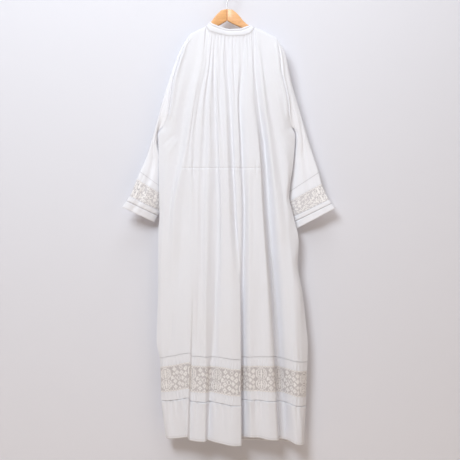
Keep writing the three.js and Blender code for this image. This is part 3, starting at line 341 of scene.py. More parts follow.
# One repeat of the lace, charted square by square: # worked solid, - plain net, o an open eyelet
LACE_CHART = [
    "##-##-##-##-##-##-##-##-##-##-##",
    "--#--#--#--#--#--#--#--#--#--#--",
    "-----####--------#------##------",
    "---##-oo-##-----###----#--#---#-",
    "--#o#-##-#o#---##o##---#--#--###",
    "-##-#o##o#-##---###-----##--##o#",
    "-#o##-##-##o#----#--#-------####",
    "-#-#oo##oo#-#------###---#---##-",
    "-#-#######-##---#-##o##-###-----",
    "-#-#oo##oo#-#--###-###-##o##--#-",
    "-#o##-##-##o#---#---#---###--###",
    "-##-#o##o#-##-#----------#-###o#",
    "--#o#-##-#o#-###--#--##-----####",
    "---##-oo-##--##o#-#-#o-#--#--##-",
    "-----####----####--##--#-###----",
    "---##-oo-##--#---#--#-o##o###---",
    "--#o#-##-#o#----###--##--###--#-",
    "-##-#o##o#-##--##o##------#--###",
    "-#o##-##-##o#---###---#-----##o#",
    "-#-#oo##oo#-#-#--#---###-----##-",
    "-#-#######-#####----##o##-#-----",
    "-#o##-##-##o#-#--#---###-###--#-",
    "-##-#o##o#-##---###---#-##o##-##",
    "--#o#-##-#o#---##o##-----###-##o",
    "---##-oo-##-----###---#---#---##",
    "-----####-----#--#---###------#-",
    "--#--#--#--#--#--#--#--#--#--#--",
    "##-##-##-##-##-##-##-##-##-##-##",
]
LACE_THREADS = {"#": 0.0, "-": 0.46, "o": 0.86}  # share of a square left open
BAND_STITCHING, HEM_STITCHING, CUFF_HEM_STITCHING = (0.0022, 0.019), (0.128,), (0.034,)  # metres down
# painted light: the sleeves' and cuffs' linen is painted this much lighter than the body's
SLEEVE_PAINTED_LIGHT = 1.07
NIPPED = 0.42  # a hemstitched bundle's width at its middle, as a share of its ends'


def through_stops(stops, values, at):
    """A smooth curve through values at stops that never overshoots them, along the first axis."""
    stops = np.asarray(stops, float)
    values = np.asarray(values, float)
    at = np.asarray(at, float)
    if stops[-1] < stops[0]:
        stops, at = -stops, -at
    span = np.diff(stops)
    slope = np.diff(values, axis=0) / span.reshape((-1,) + (1,) * (values.ndim - 1))
    tangent = np.empty_like(values)
    tangent[0], tangent[-1] = slope[0], slope[-1]
    total = slope[:-1] + slope[1:]
    product = slope[:-1] * slope[1:]
    tangent[1:-1] = np.where(product > 0, 2 * product / np.where(total == 0, 1, total), 0)
    i = np.clip(np.searchsorted(stops, at, side="right") - 1, 0, len(stops) - 2)
    width = span[i]
    t = np.clip((at - stops[i]) / width, 0, 1)
    extra = (1,) * (values.ndim - 1)
    t = t.reshape(t.shape + extra)
    width = width.reshape(width.shape + extra)
    start = (1 + 2 * t) * (1 - t) ** 2
    end = t * t * (3 - 2 * t)
    bend = width * t * (1 - t) * ((1 - t) * tangent[i] - t * tangent[i + 1])
    return start * values[i] + end * values[i + 1] + bend


def smoothstep(value, low, high):
    """0 below low and 1 above high, with a soft start and end."""
    t = np.clip((value - low) / (high - low), 0, 1)
    return t * t * (3 - 2 * t)


def run_along(points):
    """How far each point lies from the first one, along the line through them."""
    return np.concatenate([[0], np.cumsum(np.linalg.norm(np.diff(points, axis=0), axis=1))])


def bell(distance, width):
    """1 in the middle, fading out on both sides over a width."""
    return np.exp(-((distance / width) ** 2))


def arm_top(across):
    return np.interp(np.abs(across), ARM_STATIONS, ARM_TOPS) + ARM_TILT * across


def arm_bottom(across):
    return np.interp(np.abs(across), ARM_STATIONS, ARM_BOTTOMS) + ARM_TILT * across


def middle_depth(across, level):
    """Where the hanger's swept arms carry the body's middle surface along Y."""
    return ARM_FORWARD * np.abs(across) * smoothstep(level, WAIST, CHEST)


def crease_relief(creases, across, level):
    """How far creases push the cloth out, in millimetres."""
    relief = np.zeros(np.broadcast(across, level).shape)
    for x0, z0, x1, z1, width, depth in creases:
        dx, dz = x1 - x0, z1 - z0
        along = ((across - x0) * dx + (level - z0) * dz) / (dx * dx + dz * dz)
        held = np.clip(along, 0, 1)
        aside = np.hypot(across - x0 - held * dx, level - z0 - held * dz)
        relief += CREASE_DEPTH * depth * np.sin(np.pi * held) ** CREASE_ENDS * bell(aside, width)
    return relief


def armhole_reach(level):
    """1 along the armhole's seam, fading out at the shoulder and the underarm."""
    return smoothstep(-level, 176, 214) * smoothstep(level, -486, -440)


def roll(share):
    """The height of a soft roll beside a seam, 1 at its crest where share is 1."""
    return share ** 2 * np.exp(1 - share ** 2)


class Panel:
    """The back or the front of the body, from the shoulders to the hem."""

    def __init__(self, key, towards, folds, left_tip, right_tip):
        self.key = key
        self.towards = towards
        self.across = np.array([line[0] for line in folds], float)
        self.out = np.array([line[1] for line in folds], float)
        self.band_drop = np.array([line[2] for line in folds], float)
        self.hem_drop = np.array([line[3] for line in folds], float)
        self.tips = (left_tip, right_tip)
        self.last = len(folds) - 1

    def is_neck(self, places):
        """Whether a place lies under the neckband and not on a shoulder."""
        return (places > self.tips[0]) & (places < self.tips[1])

    def points(self, places, levels, creased=True):
        """Points of the middle surface, one row of them for each place."""
        places = np.asarray(places, float)
        levels = np.asarray(levels, float)
        lines = np.arange(self.last + 1)
        left = through_stops(*OUTLINE["left"], levels)
        right = through_stops(*OUTLINE["right"], levels)
        across = through_stops(LEVELS, self.across.T, levels).T
        for k in range(1, self.last):
            low = left + SIDE_CLEARANCE * min(k, SIDE_FOLDS)
            high = right - SIDE_CLEARANCE * min(self.last - k, SIDE_FOLDS)
            across[k] = np.clip(across[k], low, high)
        across[0], across[-1] = left, right
        share = np.clip((NECK_LINE - levels) / (NECK_LINE - CHEST), 0, 1)
        come_out = through_stops([0, 0.02, 0.1, 1], [0, 0.8, 1, 1], share)
        out = through_stops(LEVELS, self.out.T, levels).T
        out = np.where(self.is_neck(lines)[:, None], out, out * come_out)
        gap = through_stops(ARMHOLE_LEVELS, ARMHOLE_HALF_GAP, levels)
        out[0] = out[-1] = np.where(levels > UNDERARM, gap, HALF_SEAM)
        top_lines = self.across[:, 0].copy()
        top_lines[0], top_lines[-1] = OUTLINE["left"][1][0], OUTLINE["right"][1][0]
        top_across = through_stops(lines, top_lines, places)

        x = through_stops(lines, across, places)
        y = through_stops(lines, out, places)
        neck = self.is_neck(places)
        y[np.ix_(~neck, levels == NECK_LINE)] = HALF_SEAM
        seam = through_stops(*NECK_SEAM[self.key], top_across)
        top = np.where(neck, seam, arm_top(top_across) + CLOTH_LIFT)
        z = np.where(levels > CHEST, top[:, None] + (CHEST - top[:, None]) * share, levels)
        z = np.broadcast_to(z, x.shape).copy()
        band_drop = through_stops(lines, self.band_drop, places)[:, None]
        hem_drop = through_stops(lines, self.hem_drop, places)[:, None]
        sunk = smoothstep(-levels, -HIP, -BAND_TOP)
        to_hem = np.clip((BAND_TOP - levels) / (BAND_TOP - HEM), 0, 1)
        z -= sunk * (band_drop + (hem_drop - band_drop) * to_hem)
        if creased:
            y += self.relief(x, levels[None, :], top_across[:, None], z, top[:, None], places)
        depth = middle_depth(x, levels[None, :]) + self.towards * y
        return np.stack([x, depth, z], axis=-1)

    def relief(self, across, level, top_across, height, top, places):
        """The finer form of the cloth, faded out at the side seams, and the rolls at the armholes."""
        relief = crease_relief(CREASES[self.key], across, level)
        relief -= self.gathers(top_across, np.clip(top - height, 0, None))
        relief += self.tacking(across, level)
        relief += self.band_puckers(across, level)
        relief += self.pleats(across, np.clip(BAND_BOTTOM - level, 0, None))
        at_side = np.minimum(places, self.last - places)[:, None]
        relief = relief * smoothstep(at_side, 0, 0.9)
        inside = np.minimum(across - across[:1], across[-1:] - across)
        return relief + ARMHOLE_SWELL * roll(inside / ROLL_WIDTH) * armhole_reach(level)

    def gathers(self, across, below):
        """Troughs that start at the neckband's seam and run out below it."""
        depth_below = np.zeros(np.broadcast(across, below).shape)
        rise = np.clip(below / 6, 0, 1) * 0.6 + np.clip(below / 25, 0, 1) * 0.4
        for place, width, depth, length in GATHERS[self.key]:
            fade = np.clip(1 - below / (length * GATHER_LENGTH), 0, 1) ** 1.3
            spread = GATHER_WIDTH * width * (1 + below / 200)
            depth_below += GATHER_DEPTH * depth * rise * fade * bell(across - place, spread)
        return depth_below

    @staticmethod
    def tacking(across, level):
        """The drawn-in line of tacking at the waist, and the puckers on both sides of it."""
        tack = WAIST_TACK
        reach = smoothstep(across, tack["from"], tack["from"] + tack["fade"])
        reach = reach * (1 - smoothstep(across, tack["to"] - tack["fade"], tack["to"]))
        aside = level - tack["level"]
        pucker = np.sin(across / 2.1) * np.sin(across / 3.7 + 1.3)
        return reach * (TACK_PUCKER * bell(aside, 12) * pucker - tack["depth"] * bell(aside, tack["width"]))

    @staticmethod
    def band_puckers(across, level):
        """Fine puckers where the strips are sewn to the lace, and below the lower stitching."""
        wave = np.sin(across / 1.75 + 2 * np.sin(across / 17))
        wave = wave * (0.6 + 0.4 * np.sin(across / 9.3 + 0.7))
        upper = bell(level - (LACE_TOP + 11), 12)
        lower = bell(level - (LACE_BOTTOM - 14), 13)
        return BAND_PUCKER * wave * (upper + lower)

    def pleats(self, across, below):
        """Soft pleats that run down the flounce from its seam."""
        relief = np.zeros(across.shape)
        down = np.clip(below / (BAND_BOTTOM - HEM), 0, 1)
        for at_seam, at_hem, width, depth, length in FLOUNCE_PLEATS[self.key]:
            fade = (below > 0) * np.clip(1 - below / (length * PLEAT_LENGTH), 0, 1)
            middle = at_seam + (at_hem - at_seam) * down
            relief += PLEAT_DEPTH * depth * fade * bell(across - middle, width * (1 + down))
        return relief

    def even_places(self, level, step, start=0, end=None):
        """Places that lie step millimetres apart along the cloth at a level."""
        end = self.last if end is None else end
        fine = np.linspace(start, end, 1 + int((end - start) * 60))
        line = self.points(fine, [level], creased=False)[:, 0]
        length = run_along(line)
        count = max(2, round(length[-1] / step))
        return np.interp(np.linspace(0, length[-1], count + 1), length, fine)


PANELS = {
    "back": Panel("back", -1, BACK_FOLDS, 3, 24),
    "front": Panel("front", 1, FRONT_FOLDS, 3, 14),
}


class Sleeve:
    """One sleeve from the armhole to the wrist, as a flat tube round a fan of rings."""

    def __init__(self, side):
        data = SLEEVES[side]
        self.side = side
        self.outwards = np.array(data["outwards"], float)
        self.underarm = np.array(data["underarm"], float)
        self.fold_index = data["fold_index"]
        self.rings = np.array(data["rings"], float)

    def ring(self, at):
        """The rows of the table at any places between two rings."""
        return through_stops(np.arange(len(self.rings)), self.rings, at)

    def plain(self, key, share, ring):
        """Points of a half tube without its finer form, at a share of the way across each ring."""
        outer_x, outer_z, inner_x, inner_z, outer_y, inner_y, half, _, crease = ring.T
        towards = PANELS[key].towards
        swell = np.sin(np.pi * np.clip(share, 0, 1)) ** SWELL_POWER
        dent = crease * bell(share - CREASE_PLACE, CREASE_WIDTH)
        x = outer_x + (inner_x - outer_x) * share
        y = outer_y + (inner_y - outer_y) * share + towards * (half * swell - dent)
        z = outer_z + (inner_z - outer_z) * share
        return np.stack([x, y, z], axis=-1)

    def armhole(self, key, steps):
        """Points along the armhole, a seam's width away from the body, down to the underarm."""
        panel = PANELS[key]
        rows = np.interp(steps, np.arange(len(ARMHOLE_ROWS)), ARMHOLE_ROWS)
        point = panel.points([self.fold_index[key]], rows, creased=False)[0]
        point[steps <= 0, 1] = middle_depth(point[steps <= 0, 0], NECK_LINE)
        point += self.outwards * SEAM
        end = len(ARMHOLE_ROWS) - 1
        join = smoothstep(steps, end - 0.6, end)[:, None]
        return point * (1 - join) + self.underarm * join

    def side_points(self, key, steps, rings, creased=True):
        """Points of the back or front half: one row for each step across, one column for each ring."""
        steps = np.asarray(steps, float)
        rings = np.asarray(rings, float)
        shares = np.interp(steps, np.arange(len(RING_SHARES)), RING_SHARES)
        start = self.armhole(key, steps)
        top, bottom = self.rings[0][1], self.rings[0][3]
        start_share = np.clip((start[:, 2] - top) / (bottom - top), 0, 1)
        first = np.broadcast_to(self.rings[0], (len(steps), self.rings.shape[1]))
        change = start - self.plain(key, start_share, first)
        grid = np.empty((len(steps), len(rings), 3))
        table = self.ring(rings)
        for j, ring in enumerate(table):
            kept = ring[7]
            share = shares + (start_share - shares) * kept
            row = np.broadcast_to(ring, (len(steps), len(ring)))
            grid[:, j] = self.plain(key, share, row) + change * kept
        if creased:
            grid[:, :, 1] += PANELS[key].towards * self.relief(key, shares, rings)
        return grid

    @staticmethod
    def relief(key, shares, rings):
        """The finer form: creases, puckers at the stitching, and the roll at the armhole."""
        across, ring = np.meshgrid(shares, rings, indexing="ij")
        relief = np.zeros(across.shape)
        for s0, r0, s1, r1, width, depth in SLEEVE_CREASES[key]:
            along = np.clip((ring - r0) / (r1 - r0), 0, 1)
            middle = s0 + (s1 - s0) * along
            relief += depth * np.sin(np.pi * along) ** CREASE_ENDS * bell(across - middle, width)
        wave = np.sin(across * 70 + 2 * np.sin(across * 9)) * (0.6 + 0.4 * np.sin(across * 23))
        relief += CUFF_PUCKER * wave * (bell(ring - 6.5, 0.4) + bell(ring - 8.25, 0.25))
        edge = np.minimum(across, 1 - across)
        relief = relief * smoothstep(edge, 0.01, 0.1) * smoothstep(ring, 0.1, 0.8)
        reach = smoothstep(across, 0.04, 0.2) * smoothstep(1 - across, 0.05, 0.25)
        return relief + ARMHOLE_SWELL * roll(ring / SLEEVE_ROLL) * reach

    def around(self, rings, per_side, creased=True):
        """The whole tube: round the back from the outer edge to the inner, then back over the front."""
        even = np.linspace(0, 1, per_side + 1)
        dense_at_ends = (1 - np.cos(np.pi * even)) / 2
        steps = np.interp(0.35 * dense_at_ends + 0.65 * even, RING_SHARES, np.arange(len(RING_SHARES)))
        back = self.side_points("back", steps, rings, creased)
        front = self.side_points("front", steps[::-1], rings, creased)
        back[0] = (back[0] + front[-1]) / 2
        back[-1] = (back[-1] + front[0]) / 2
        return np.concatenate([back, front[1:-1]], axis=0)


ARMS = {side: Sleeve(side) for side in SLEEVES}


# Meshes

def deselect_all():
    if bpy.context.object and bpy.context.object.mode != "OBJECT":
        bpy.ops.object.mode_set(mode="OBJECT")
    for item in bpy.context.scene.objects:
        item.select_set(False)
    bpy.context.view_layer.objects.active = None


def make_active(piece):
    deselect_all()
    piece.select_set(True)
    bpy.context.view_layer.objects.active = piece


def apply_modifier(piece, kind, **values):
    """Adds a modifier with the given values and applies it."""
    make_active(piece)
    modifier = piece.modifiers.new(kind.title(), kind)
    for name, value in values.items():
        setattr(modifier, name, value)
    bpy.ops.object.modifier_apply(modifier=modifier.name)


def new_piece(name, vertices, faces, uvs=None, material=None):
    """A smooth mesh object from points in millimetres."""
    mesh = bpy.data.meshes.new(name)
    mesh.from_pydata((np.asarray(vertices) * MM).tolist(), [], [list(map(int, f)) for f in faces])
    if uvs is not None:
        layer = mesh.uv_layers.new(name="UVMap")
        corners = np.empty(len(mesh.loops), dtype=np.int32)
        mesh.loops.foreach_get("vertex_index", corners)
        layer.data.foreach_set("uv", np.asarray(uvs, np.float32)[corners].ravel())
    mesh.polygons.foreach_set("use_smooth", [True] * len(mesh.polygons))
    if material:
        mesh.materials.append(material)
    mesh.update()
    piece = bpy.data.objects.new(name, mesh)
    bpy.context.scene.collection.objects.link(piece)
    return piece


def grid_uvs(grid):
    """Distances along the cloth in metres, across and down, for the weave to follow."""
    across = run_along(grid[:, grid.shape[1] // 2])
    down = run_along(grid[grid.shape[0] // 2])
    return np.stack(np.meshgrid(across, down, indexing="ij"), axis=-1).reshape(-1, 2) * MM


def grid_faces(columns, rows, wrap, flip, keep=None):
    """The four-sided faces of a grid of points, only those that keep chooses."""
    i, j = np.meshgrid(np.arange(columns if wrap else columns - 1), np.arange(rows - 1), indexing="ij")
    if keep is not None:
        mask = keep(i, j)
        i, j = i[mask], j[mask]
    after = (i + 1) % columns
    quads = np.stack([i * rows + j, after * rows + j, after * rows + j + 1, i * rows + j + 1], axis=-1)
    quads = quads.reshape(-1, 4)
    return quads if flip else quads[:, ::-1]


def cloth_piece(name, grid, material, wrap=False, flip=False, keep=None, thickness=0.0):
    """A sheet of cloth through a grid of points. flip turns its face side outwards."""
    columns, rows = grid.shape[:2]
    faces = grid_faces(columns, rows, wrap, flip, keep)
    piece = new_piece(name, grid.reshape(-1, 3), faces, grid_uvs(grid), material)
    if thickness:
        apply_modifier(piece, "SOLIDIFY", thickness=thickness * MM, offset=0.0)
    return piece


def lace_piece(name, grid, material, wrap=False, flip=False):
    """Lace on a grid of squares: each square is a frame of threads round the opening its chart gives."""
    columns, rows = grid.shape[:2]
    cells = columns if wrap else columns - 1
    vertices = list(grid.reshape(-1, 3))
    uv = list(grid_uvs(grid))
    faces = []
    worked = []
    for i in range(cells):
        after = (i + 1) % columns
        for j in range(rows - 1):
            line = LACE_CHART[j * len(LACE_CHART) // (rows - 1)]
            share = LACE_THREADS[line[i % len(line)]]
            corners = [i * rows + j, after * rows + j, after * rows + j + 1, i * rows + j + 1]
            if share == 0:
                faces.append(corners)
                worked.append(1.0)
                continue
            first = len(vertices)
            for known in (vertices, uv):
                square = np.array([known[corner] for corner in corners])
                known.extend(square * share + square.mean(axis=0) * (1 - share))
            for n in range(4):
                m = (n + 1) % 4
                faces.append([corners[n], corners[m], first + m, first + n])
                worked.append(0.0)
    if not flip:
        faces = [face[::-1] for face in faces]
    piece = new_piece(name, vertices, faces, uv, material)
    layer = piece.data.attributes.new("worked", "FLOAT", "FACE")
    layer.data.foreach_set("value", worked)
    return piece


def ladder_piece(name, upper, lower, material, step=2.4, share=0.5, flip=False):
    """Drawn-thread hemstitching: bundles of threads that bridge two edges, nipped in the middle."""
    length = run_along(upper)
    vertices = []
    faces = []
    for n in range(int(length[-1] / step)):
        middle = (n + 0.5) * step
        for fraction, narrow in ((0.0, 1.0), (0.5, NIPPED), (1.0, 1.0)):
            for at in (middle - step * share * narrow, middle + step * share * narrow):
                start, end = ([np.interp(at, length, line[:, axis]) for axis in range(3)]
                              for line in (upper, lower))
                vertices.append(np.array(start) * (1 - fraction) + np.array(end) * fraction)
        first = n * 6
        faces.append([first, first + 1, first + 3, first + 2])
        faces.append([first + 2, first + 3, first + 5, first + 4])
    if not flip:
        faces = [face[::-1] for face in faces]
    return new_piece(name, vertices, faces, None, material)


# Materials

class Nodes:
    """A small helper that adds and links shader nodes."""

    def __init__(self, tree):
        self.tree = tree

    def feed(self, node, inputs):
        """Links a socket, or sets a plain value, for each named input of a node."""
        for key, value in inputs.items():
            if isinstance(value, bpy.types.NodeSocket):
                self.tree.links.new(value, node.inputs[key])
            else:
                node.inputs[key].default_value = value

    def add(self, kind, inputs=None, **settings):
        node = self.tree.nodes.new(kind)
        for name, value in settings.items():
            setattr(node, name, value)
        self.feed(node, inputs or {})
        return node

    def group(self, tree, inputs):
        """Places a shared node group and returns what it puts out."""
        return self.add("ShaderNodeGroup", inputs, node_tree=tree).outputs

    def noise(self, place, scale, detail, **inputs):
        values = {"Vector": place, "Scale": scale, "Detail": detail, **inputs}
        return self.add("ShaderNodeTexNoise", values).outputs[0]

    def stretch(self, place, scale):
        return self.add("ShaderNodeMapping", {"Vector": place, "Scale": scale}).outputs[0]

    def ramp(self, value, low, high, start=0.0, end=1.0):
        """From start to end while value goes from low to high."""
        return self.add("ShaderNodeMapRange", {
            "Value": value, "From Min": low, "From Max": high, "To Min": start, "To Max": end}).outputs[0]

    def bump(self, height, strength=1.0, distance=MM, **settings):
        values = {"Strength": strength, "Distance": distance, "Height": height}
        return self.add("ShaderNodeBump", values, **settings).outputs[0]

    def coordinates(self, kind):
        return self.add("ShaderNodeTexCoord").outputs[kind]

    def math(self, operation, a, b=0.0, c=0.0):
        return self.add("ShaderNodeMath", {0: a, 1: b, 2: c}, operation=operation).outputs[0]

    def mix(self, factor, a, b):
        return self.add("ShaderNodeMix", {0: factor, 6: a, 7: b}, data_type="RGBA").outputs[2]


def node_group(name, inputs, outputs, build):
    """A shader node group with named sockets, built once."""
    if name in bpy.data.node_groups:
        return bpy.data.node_groups[name]
    tree = bpy.data.node_groups.new(name, "ShaderNodeTree")
    for label, kind, default in inputs:
        socket = tree.interface.new_socket(name=label, in_out="INPUT", socket_type=kind)
        if default is not None:
            socket.default_value = default
    for label, kind in outputs:
        tree.interface.new_socket(name=label, in_out="OUTPUT", socket_type=kind)
    entry = tree.nodes.new("NodeGroupInput")
    leave = tree.nodes.new("NodeGroupOutput")
    made = build(Nodes(tree), entry.outputs)
    for label, socket in made.items():
        tree.links.new(socket, leave.inputs[label])
    return tree


def weave_group():
    """Plain weave: threads over and under each other, with slubs where the linen yarn thickens."""
    def build(nodes, given):
        place = nodes.add("ShaderNodeSeparateXYZ", {0: given["Place"]})
        turns = nodes.math("MULTIPLY", given["Threads per metre"], math.pi)
        warp = nodes.math("SINE", nodes.math("MULTIPLY", place.outputs[0], turns))
        weft = nodes.math("SINE", nodes.math("MULTIPLY", place.outputs[1], turns))
        height = nodes.math("MULTIPLY_ADD", nodes.math("MULTIPLY", warp, weft), 0.5, 0.5)
        slubs = [nodes.noise(nodes.stretch(given["Place"], scale), 1.0, 2.0)
                 for scale in ((900.0, 24.0, 1.0), (22.0, 1000.0, 1.0))]
        slub = nodes.math("ADD", *slubs)
        shade = nodes.math("MULTIPLY_ADD", slub, given["Slubs"], nodes.math("SUBTRACT", 1.0, given["Slubs"]))
        return {"Height": height, "Shade": shade}
    return node_group(
        "Plain weave",
        [("Place", "NodeSocketVector", None), ("Threads per metre", "NodeSocketFloat", 1500.0),
         ("Slubs", "NodeSocketFloat", 0.05)],
        [("Height", "NodeSocketFloat"), ("Shade", "NodeSocketFloat")],
        build,
    )


def handling_group():
    """The soft unevenness that washing and pressing leave: a low crumple and faint ageing."""
    def build(nodes, given):
        broad = nodes.noise(nodes.stretch(given["Place"], (1.0, 0.35, 0.35)), 34.0, 3.0)
        fine = nodes.noise(given["Place"], 140.0, 2.0)
        crumple = nodes.math("MULTIPLY_ADD", fine, 0.22, broad)
        ageing = nodes.math("SUBTRACT", nodes.noise(given["Place"], 7.0, 4.0), 0.5)
        ageing = nodes.math("MAXIMUM", nodes.math("MULTIPLY", ageing, given["Ageing"]), 0.0)
        return {"Crumple": crumple, "Ageing": ageing}
    return node_group(
        "Washed and pressed",
        [("Place", "NodeSocketVector", None), ("Ageing", "NodeSocketFloat", 0.6)],
        [("Crumple", "NodeSocketFloat"), ("Ageing", "NodeSocketFloat")],
        build,
    )


def stitching_group():
    """A row of machine stitches at a distance down the cloth: thread dashes in a slight groove."""
    def build(nodes, given):
        place = nodes.add("ShaderNodeSeparateXYZ", {0: given["Place"]})
        aside = nodes.math("ABSOLUTE", nodes.math("SUBTRACT", place.outputs[1], given["Row"]))
        line = nodes.ramp(aside, 0.0003, 0.0006, 1.0, 0.0)
        groove = nodes.ramp(aside, 0.0, 0.0022, 1.0, 0.0)
        run = nodes.math("FRACT", nodes.math("DIVIDE", place.outputs[0], given["Stitch length"]))
        dash = nodes.math("LESS_THAN", run, 0.72)
        return {"Thread": nodes.math("MULTIPLY", line, dash), "Groove": groove}
    return node_group(
        "Stitched row",
        [("Place", "NodeSocketVector", None), ("Row", "NodeSocketFloat", 0.01),
         ("Stitch length", "NodeSocketFloat", 0.0024)],
        [("Thread", "NodeSocketFloat"), ("Groove", "NodeSocketFloat")],
        build,
    )


def grain_group():
    """Wood grain that runs along X: growth lines, pores and a slight mottle."""
    def build(nodes, given):
        growth = nodes.noise(nodes.stretch(given["Place"], (9.0, 60.0, 130.0)), 1.0, 3.0)
        pores = nodes.noise(nodes.stretch(given["Place"], (70.0, 900.0, 900.0)), 1.0, 2.0)
        return {"Lines": nodes.ramp(growth, 0.38, 0.64), "Pores": nodes.ramp(pores, 0.56, 0.7)}
    return node_group(
        "Hardwood grain",
        [("Place", "NodeSocketVector", None)],
        [("Lines", "NodeSocketFloat"), ("Pores", "NodeSocketFloat")],
        build,
    )


def new_material(name):
    """A new material, the helper for its nodes, and its shader."""
    material = bpy.data.materials.new(name)
    material.use_nodes = True
    tree = material.node_tree
    return material, Nodes(tree), tree.nodes["Principled BSDF"]


def tone(colour, *shares):
    """A colour with its channels scaled by shares, and full alpha."""
    return [channel * share for channel, share in zip(colour, shares * (3 // len(shares)))] + [1.0]


def linen_material(name, settings, stitch_rows=(), painted_light_factor=1.0):
    """Bleached plain-weave linen, with any stitched rows at given distances down the piece and painted shade
    in their grooves; a factor above 1 paints a lighter copy of it, as painted light.
    """
    if name in bpy.data.materials:
        return bpy.data.materials[name]
    material, nodes, shader = new_material(name)
    place = nodes.coordinates("UV")
    weave = nodes.group(weave_group(), {"Place": place, "Threads per metre": settings.threads})
    handled = nodes.group(handling_group(), {"Place": nodes.coordinates("Object"), "Ageing": 0.7})
    # painted light: a factor above 1 makes a lighter copy of the same linen, standing in for more light on
    # it
    clean = tone(settings.linen_colour, painted_light_factor)
    colour = nodes.mix(handled["Ageing"], clean, tone(clean, 0.985, 0.95, 0.89))
    dark = nodes.mix(0.09, clean, (0.55, 0.52, 0.5, 1.0))
    colour = nodes.mix(nodes.math("SUBTRACT", 1.0, weave["Shade"]), colour, dark)
    height = nodes.math("MULTIPLY", weave["Height"], 0.05)
    height = nodes.math("MULTIPLY_ADD", handled["Crumple"], settings.crumple, height)
    for row in stitch_rows:
        stitch = nodes.group(stitching_group(), {"Place": place, "Row": row})
        height = nodes.math("MULTIPLY_ADD", stitch["Groove"], -0.35, height)
        height = nodes.math("MULTIPLY_ADD", stitch["Thread"], 0.3, height)
        # painted shade: the linen is mixed towards grey along each stitched row's groove, where shade falls
        colour = nodes.mix(nodes.math("MULTIPLY", stitch["Groove"], 0.3), colour, (0.5, 0.47, 0.46, 1.0))
    nodes.feed(shader, {"Base Color": colour, "Normal": nodes.bump(height), "Roughness": 0.88,
                        "Specular IOR Level": 0.2, "Sheen Weight": 0.12, "Sheen Roughness": 0.5})
    return material


def lace_material(name, thread_colour):
    """Cotton lace with painted light and shade: lighter where a square is worked solid, darker in the net,
    with darned threads both ways.
    """
    if name in bpy.data.materials:
        return bpy.data.materials[name]
    material, nodes, shader = new_material(name)
    weave = nodes.group(weave_group(), {
        "Place": nodes.coordinates("UV"), "Threads per metre": 900.0, "Slubs": 0.12})
    worked = nodes.add("ShaderNodeAttribute", attribute_name="worked").outputs["Fac"]
    # painted light and shade: worked squares are painted lighter and the net's threads darker, for the shade
    # seen through the open net
    solid = [0.35 * channel + 0.64 for channel in thread_colour] + [1.0]
    colour = nodes.mix(worked, tone(thread_colour, 0.9), solid)
    colour = nodes.mix(nodes.math("SUBTRACT", 1.0, weave["Shade"]), colour, (0.5, 0.45, 0.4, 1.0))
    height = nodes.math("MULTIPLY", weave["Height"], 0.12)
    nodes.feed(shader, {"Base Color": colour, "Normal": nodes.bump(height), "Roughness": 0.85,
                        "Specular IOR Level": 0.2, "Sheen Weight": 0.1})
    return material


def thread_material(settings):
    """White sewing thread with a fine twist."""
    if "Sewing thread" in bpy.data.materials:
        return bpy.data.materials["Sewing thread"]
    material, nodes, shader = new_material("Sewing thread")
    twist = nodes.noise(nodes.coordinates("Object"), 900.0, 1.0)
    colour = nodes.mix(twist, tone(settings.linen_colour, 0.94), tone(settings.linen_colour, 0.8))
    nodes.feed(shader, {"Base Color": colour, "Roughness": 0.8,
                        "Normal": nodes.bump(twist, 0.4, 0.3 * MM)})
    return material


def wood_material(settings):
    """Varnished hardwood, its pores sunk a little under the clear coat."""
    material, nodes, shader = new_material("Varnished hardwood")
    grain = nodes.group(grain_group(), {"Place": nodes.coordinates("Object")})
    wood = settings.wood_colour
    lines = nodes.math("MULTIPLY", grain["Lines"], 0.5)
    colour = nodes.mix(lines, tone(wood, 1), tone(wood, 0.82, 0.72, 0.6))
    colour = nodes.mix(nodes.math("MULTIPLY", grain["Pores"], 0.35), colour, (0.28, 0.14, 0.06, 1.0))
    nodes.feed(shader, {
        "Base Color": colour, "Roughness": nodes.math("MULTIPLY_ADD", grain["Pores"], 0.15, 0.38),
        "Normal": nodes.bump(grain["Pores"], 0.4, 0.3 * MM, invert=True),
        "Coat Weight": 0.35, "Coat Roughness": 0.2})
    return material


def wire_material():
    """Drawn steel wire, slightly clouded."""
    material, nodes, shader = new_material("Bright steel wire")
    cloud = nodes.noise(nodes.coordinates("Object"), 420.0, 3.0)
    colour = nodes.mix(cloud, (0.68, 0.69, 0.7, 1.0), (0.55, 0.56, 0.57, 1.0))
    rough = nodes.math("MULTIPLY_ADD", cloud, 0.18, 0.2)
    nodes.feed(shader, {"Base Color": colour, "Roughness": rough, "Metallic": 1.0})
    return material


def shell_material():
    """Pearly shell with soft veins."""
    material, nodes, shader = new_material("Pearly shell")
    veins = nodes.noise(nodes.coordinates("Object"), 260.0, 3.0, Distortion=1.5)
    colour = nodes.mix(veins, (0.86, 0.82, 0.74, 1.0), (0.78, 0.75, 0.72, 1.0))
    nodes.feed(shader, {"Base Color": colour, "Roughness": 0.25, "Coat Weight": 0.5})
    return material


# What a user would change

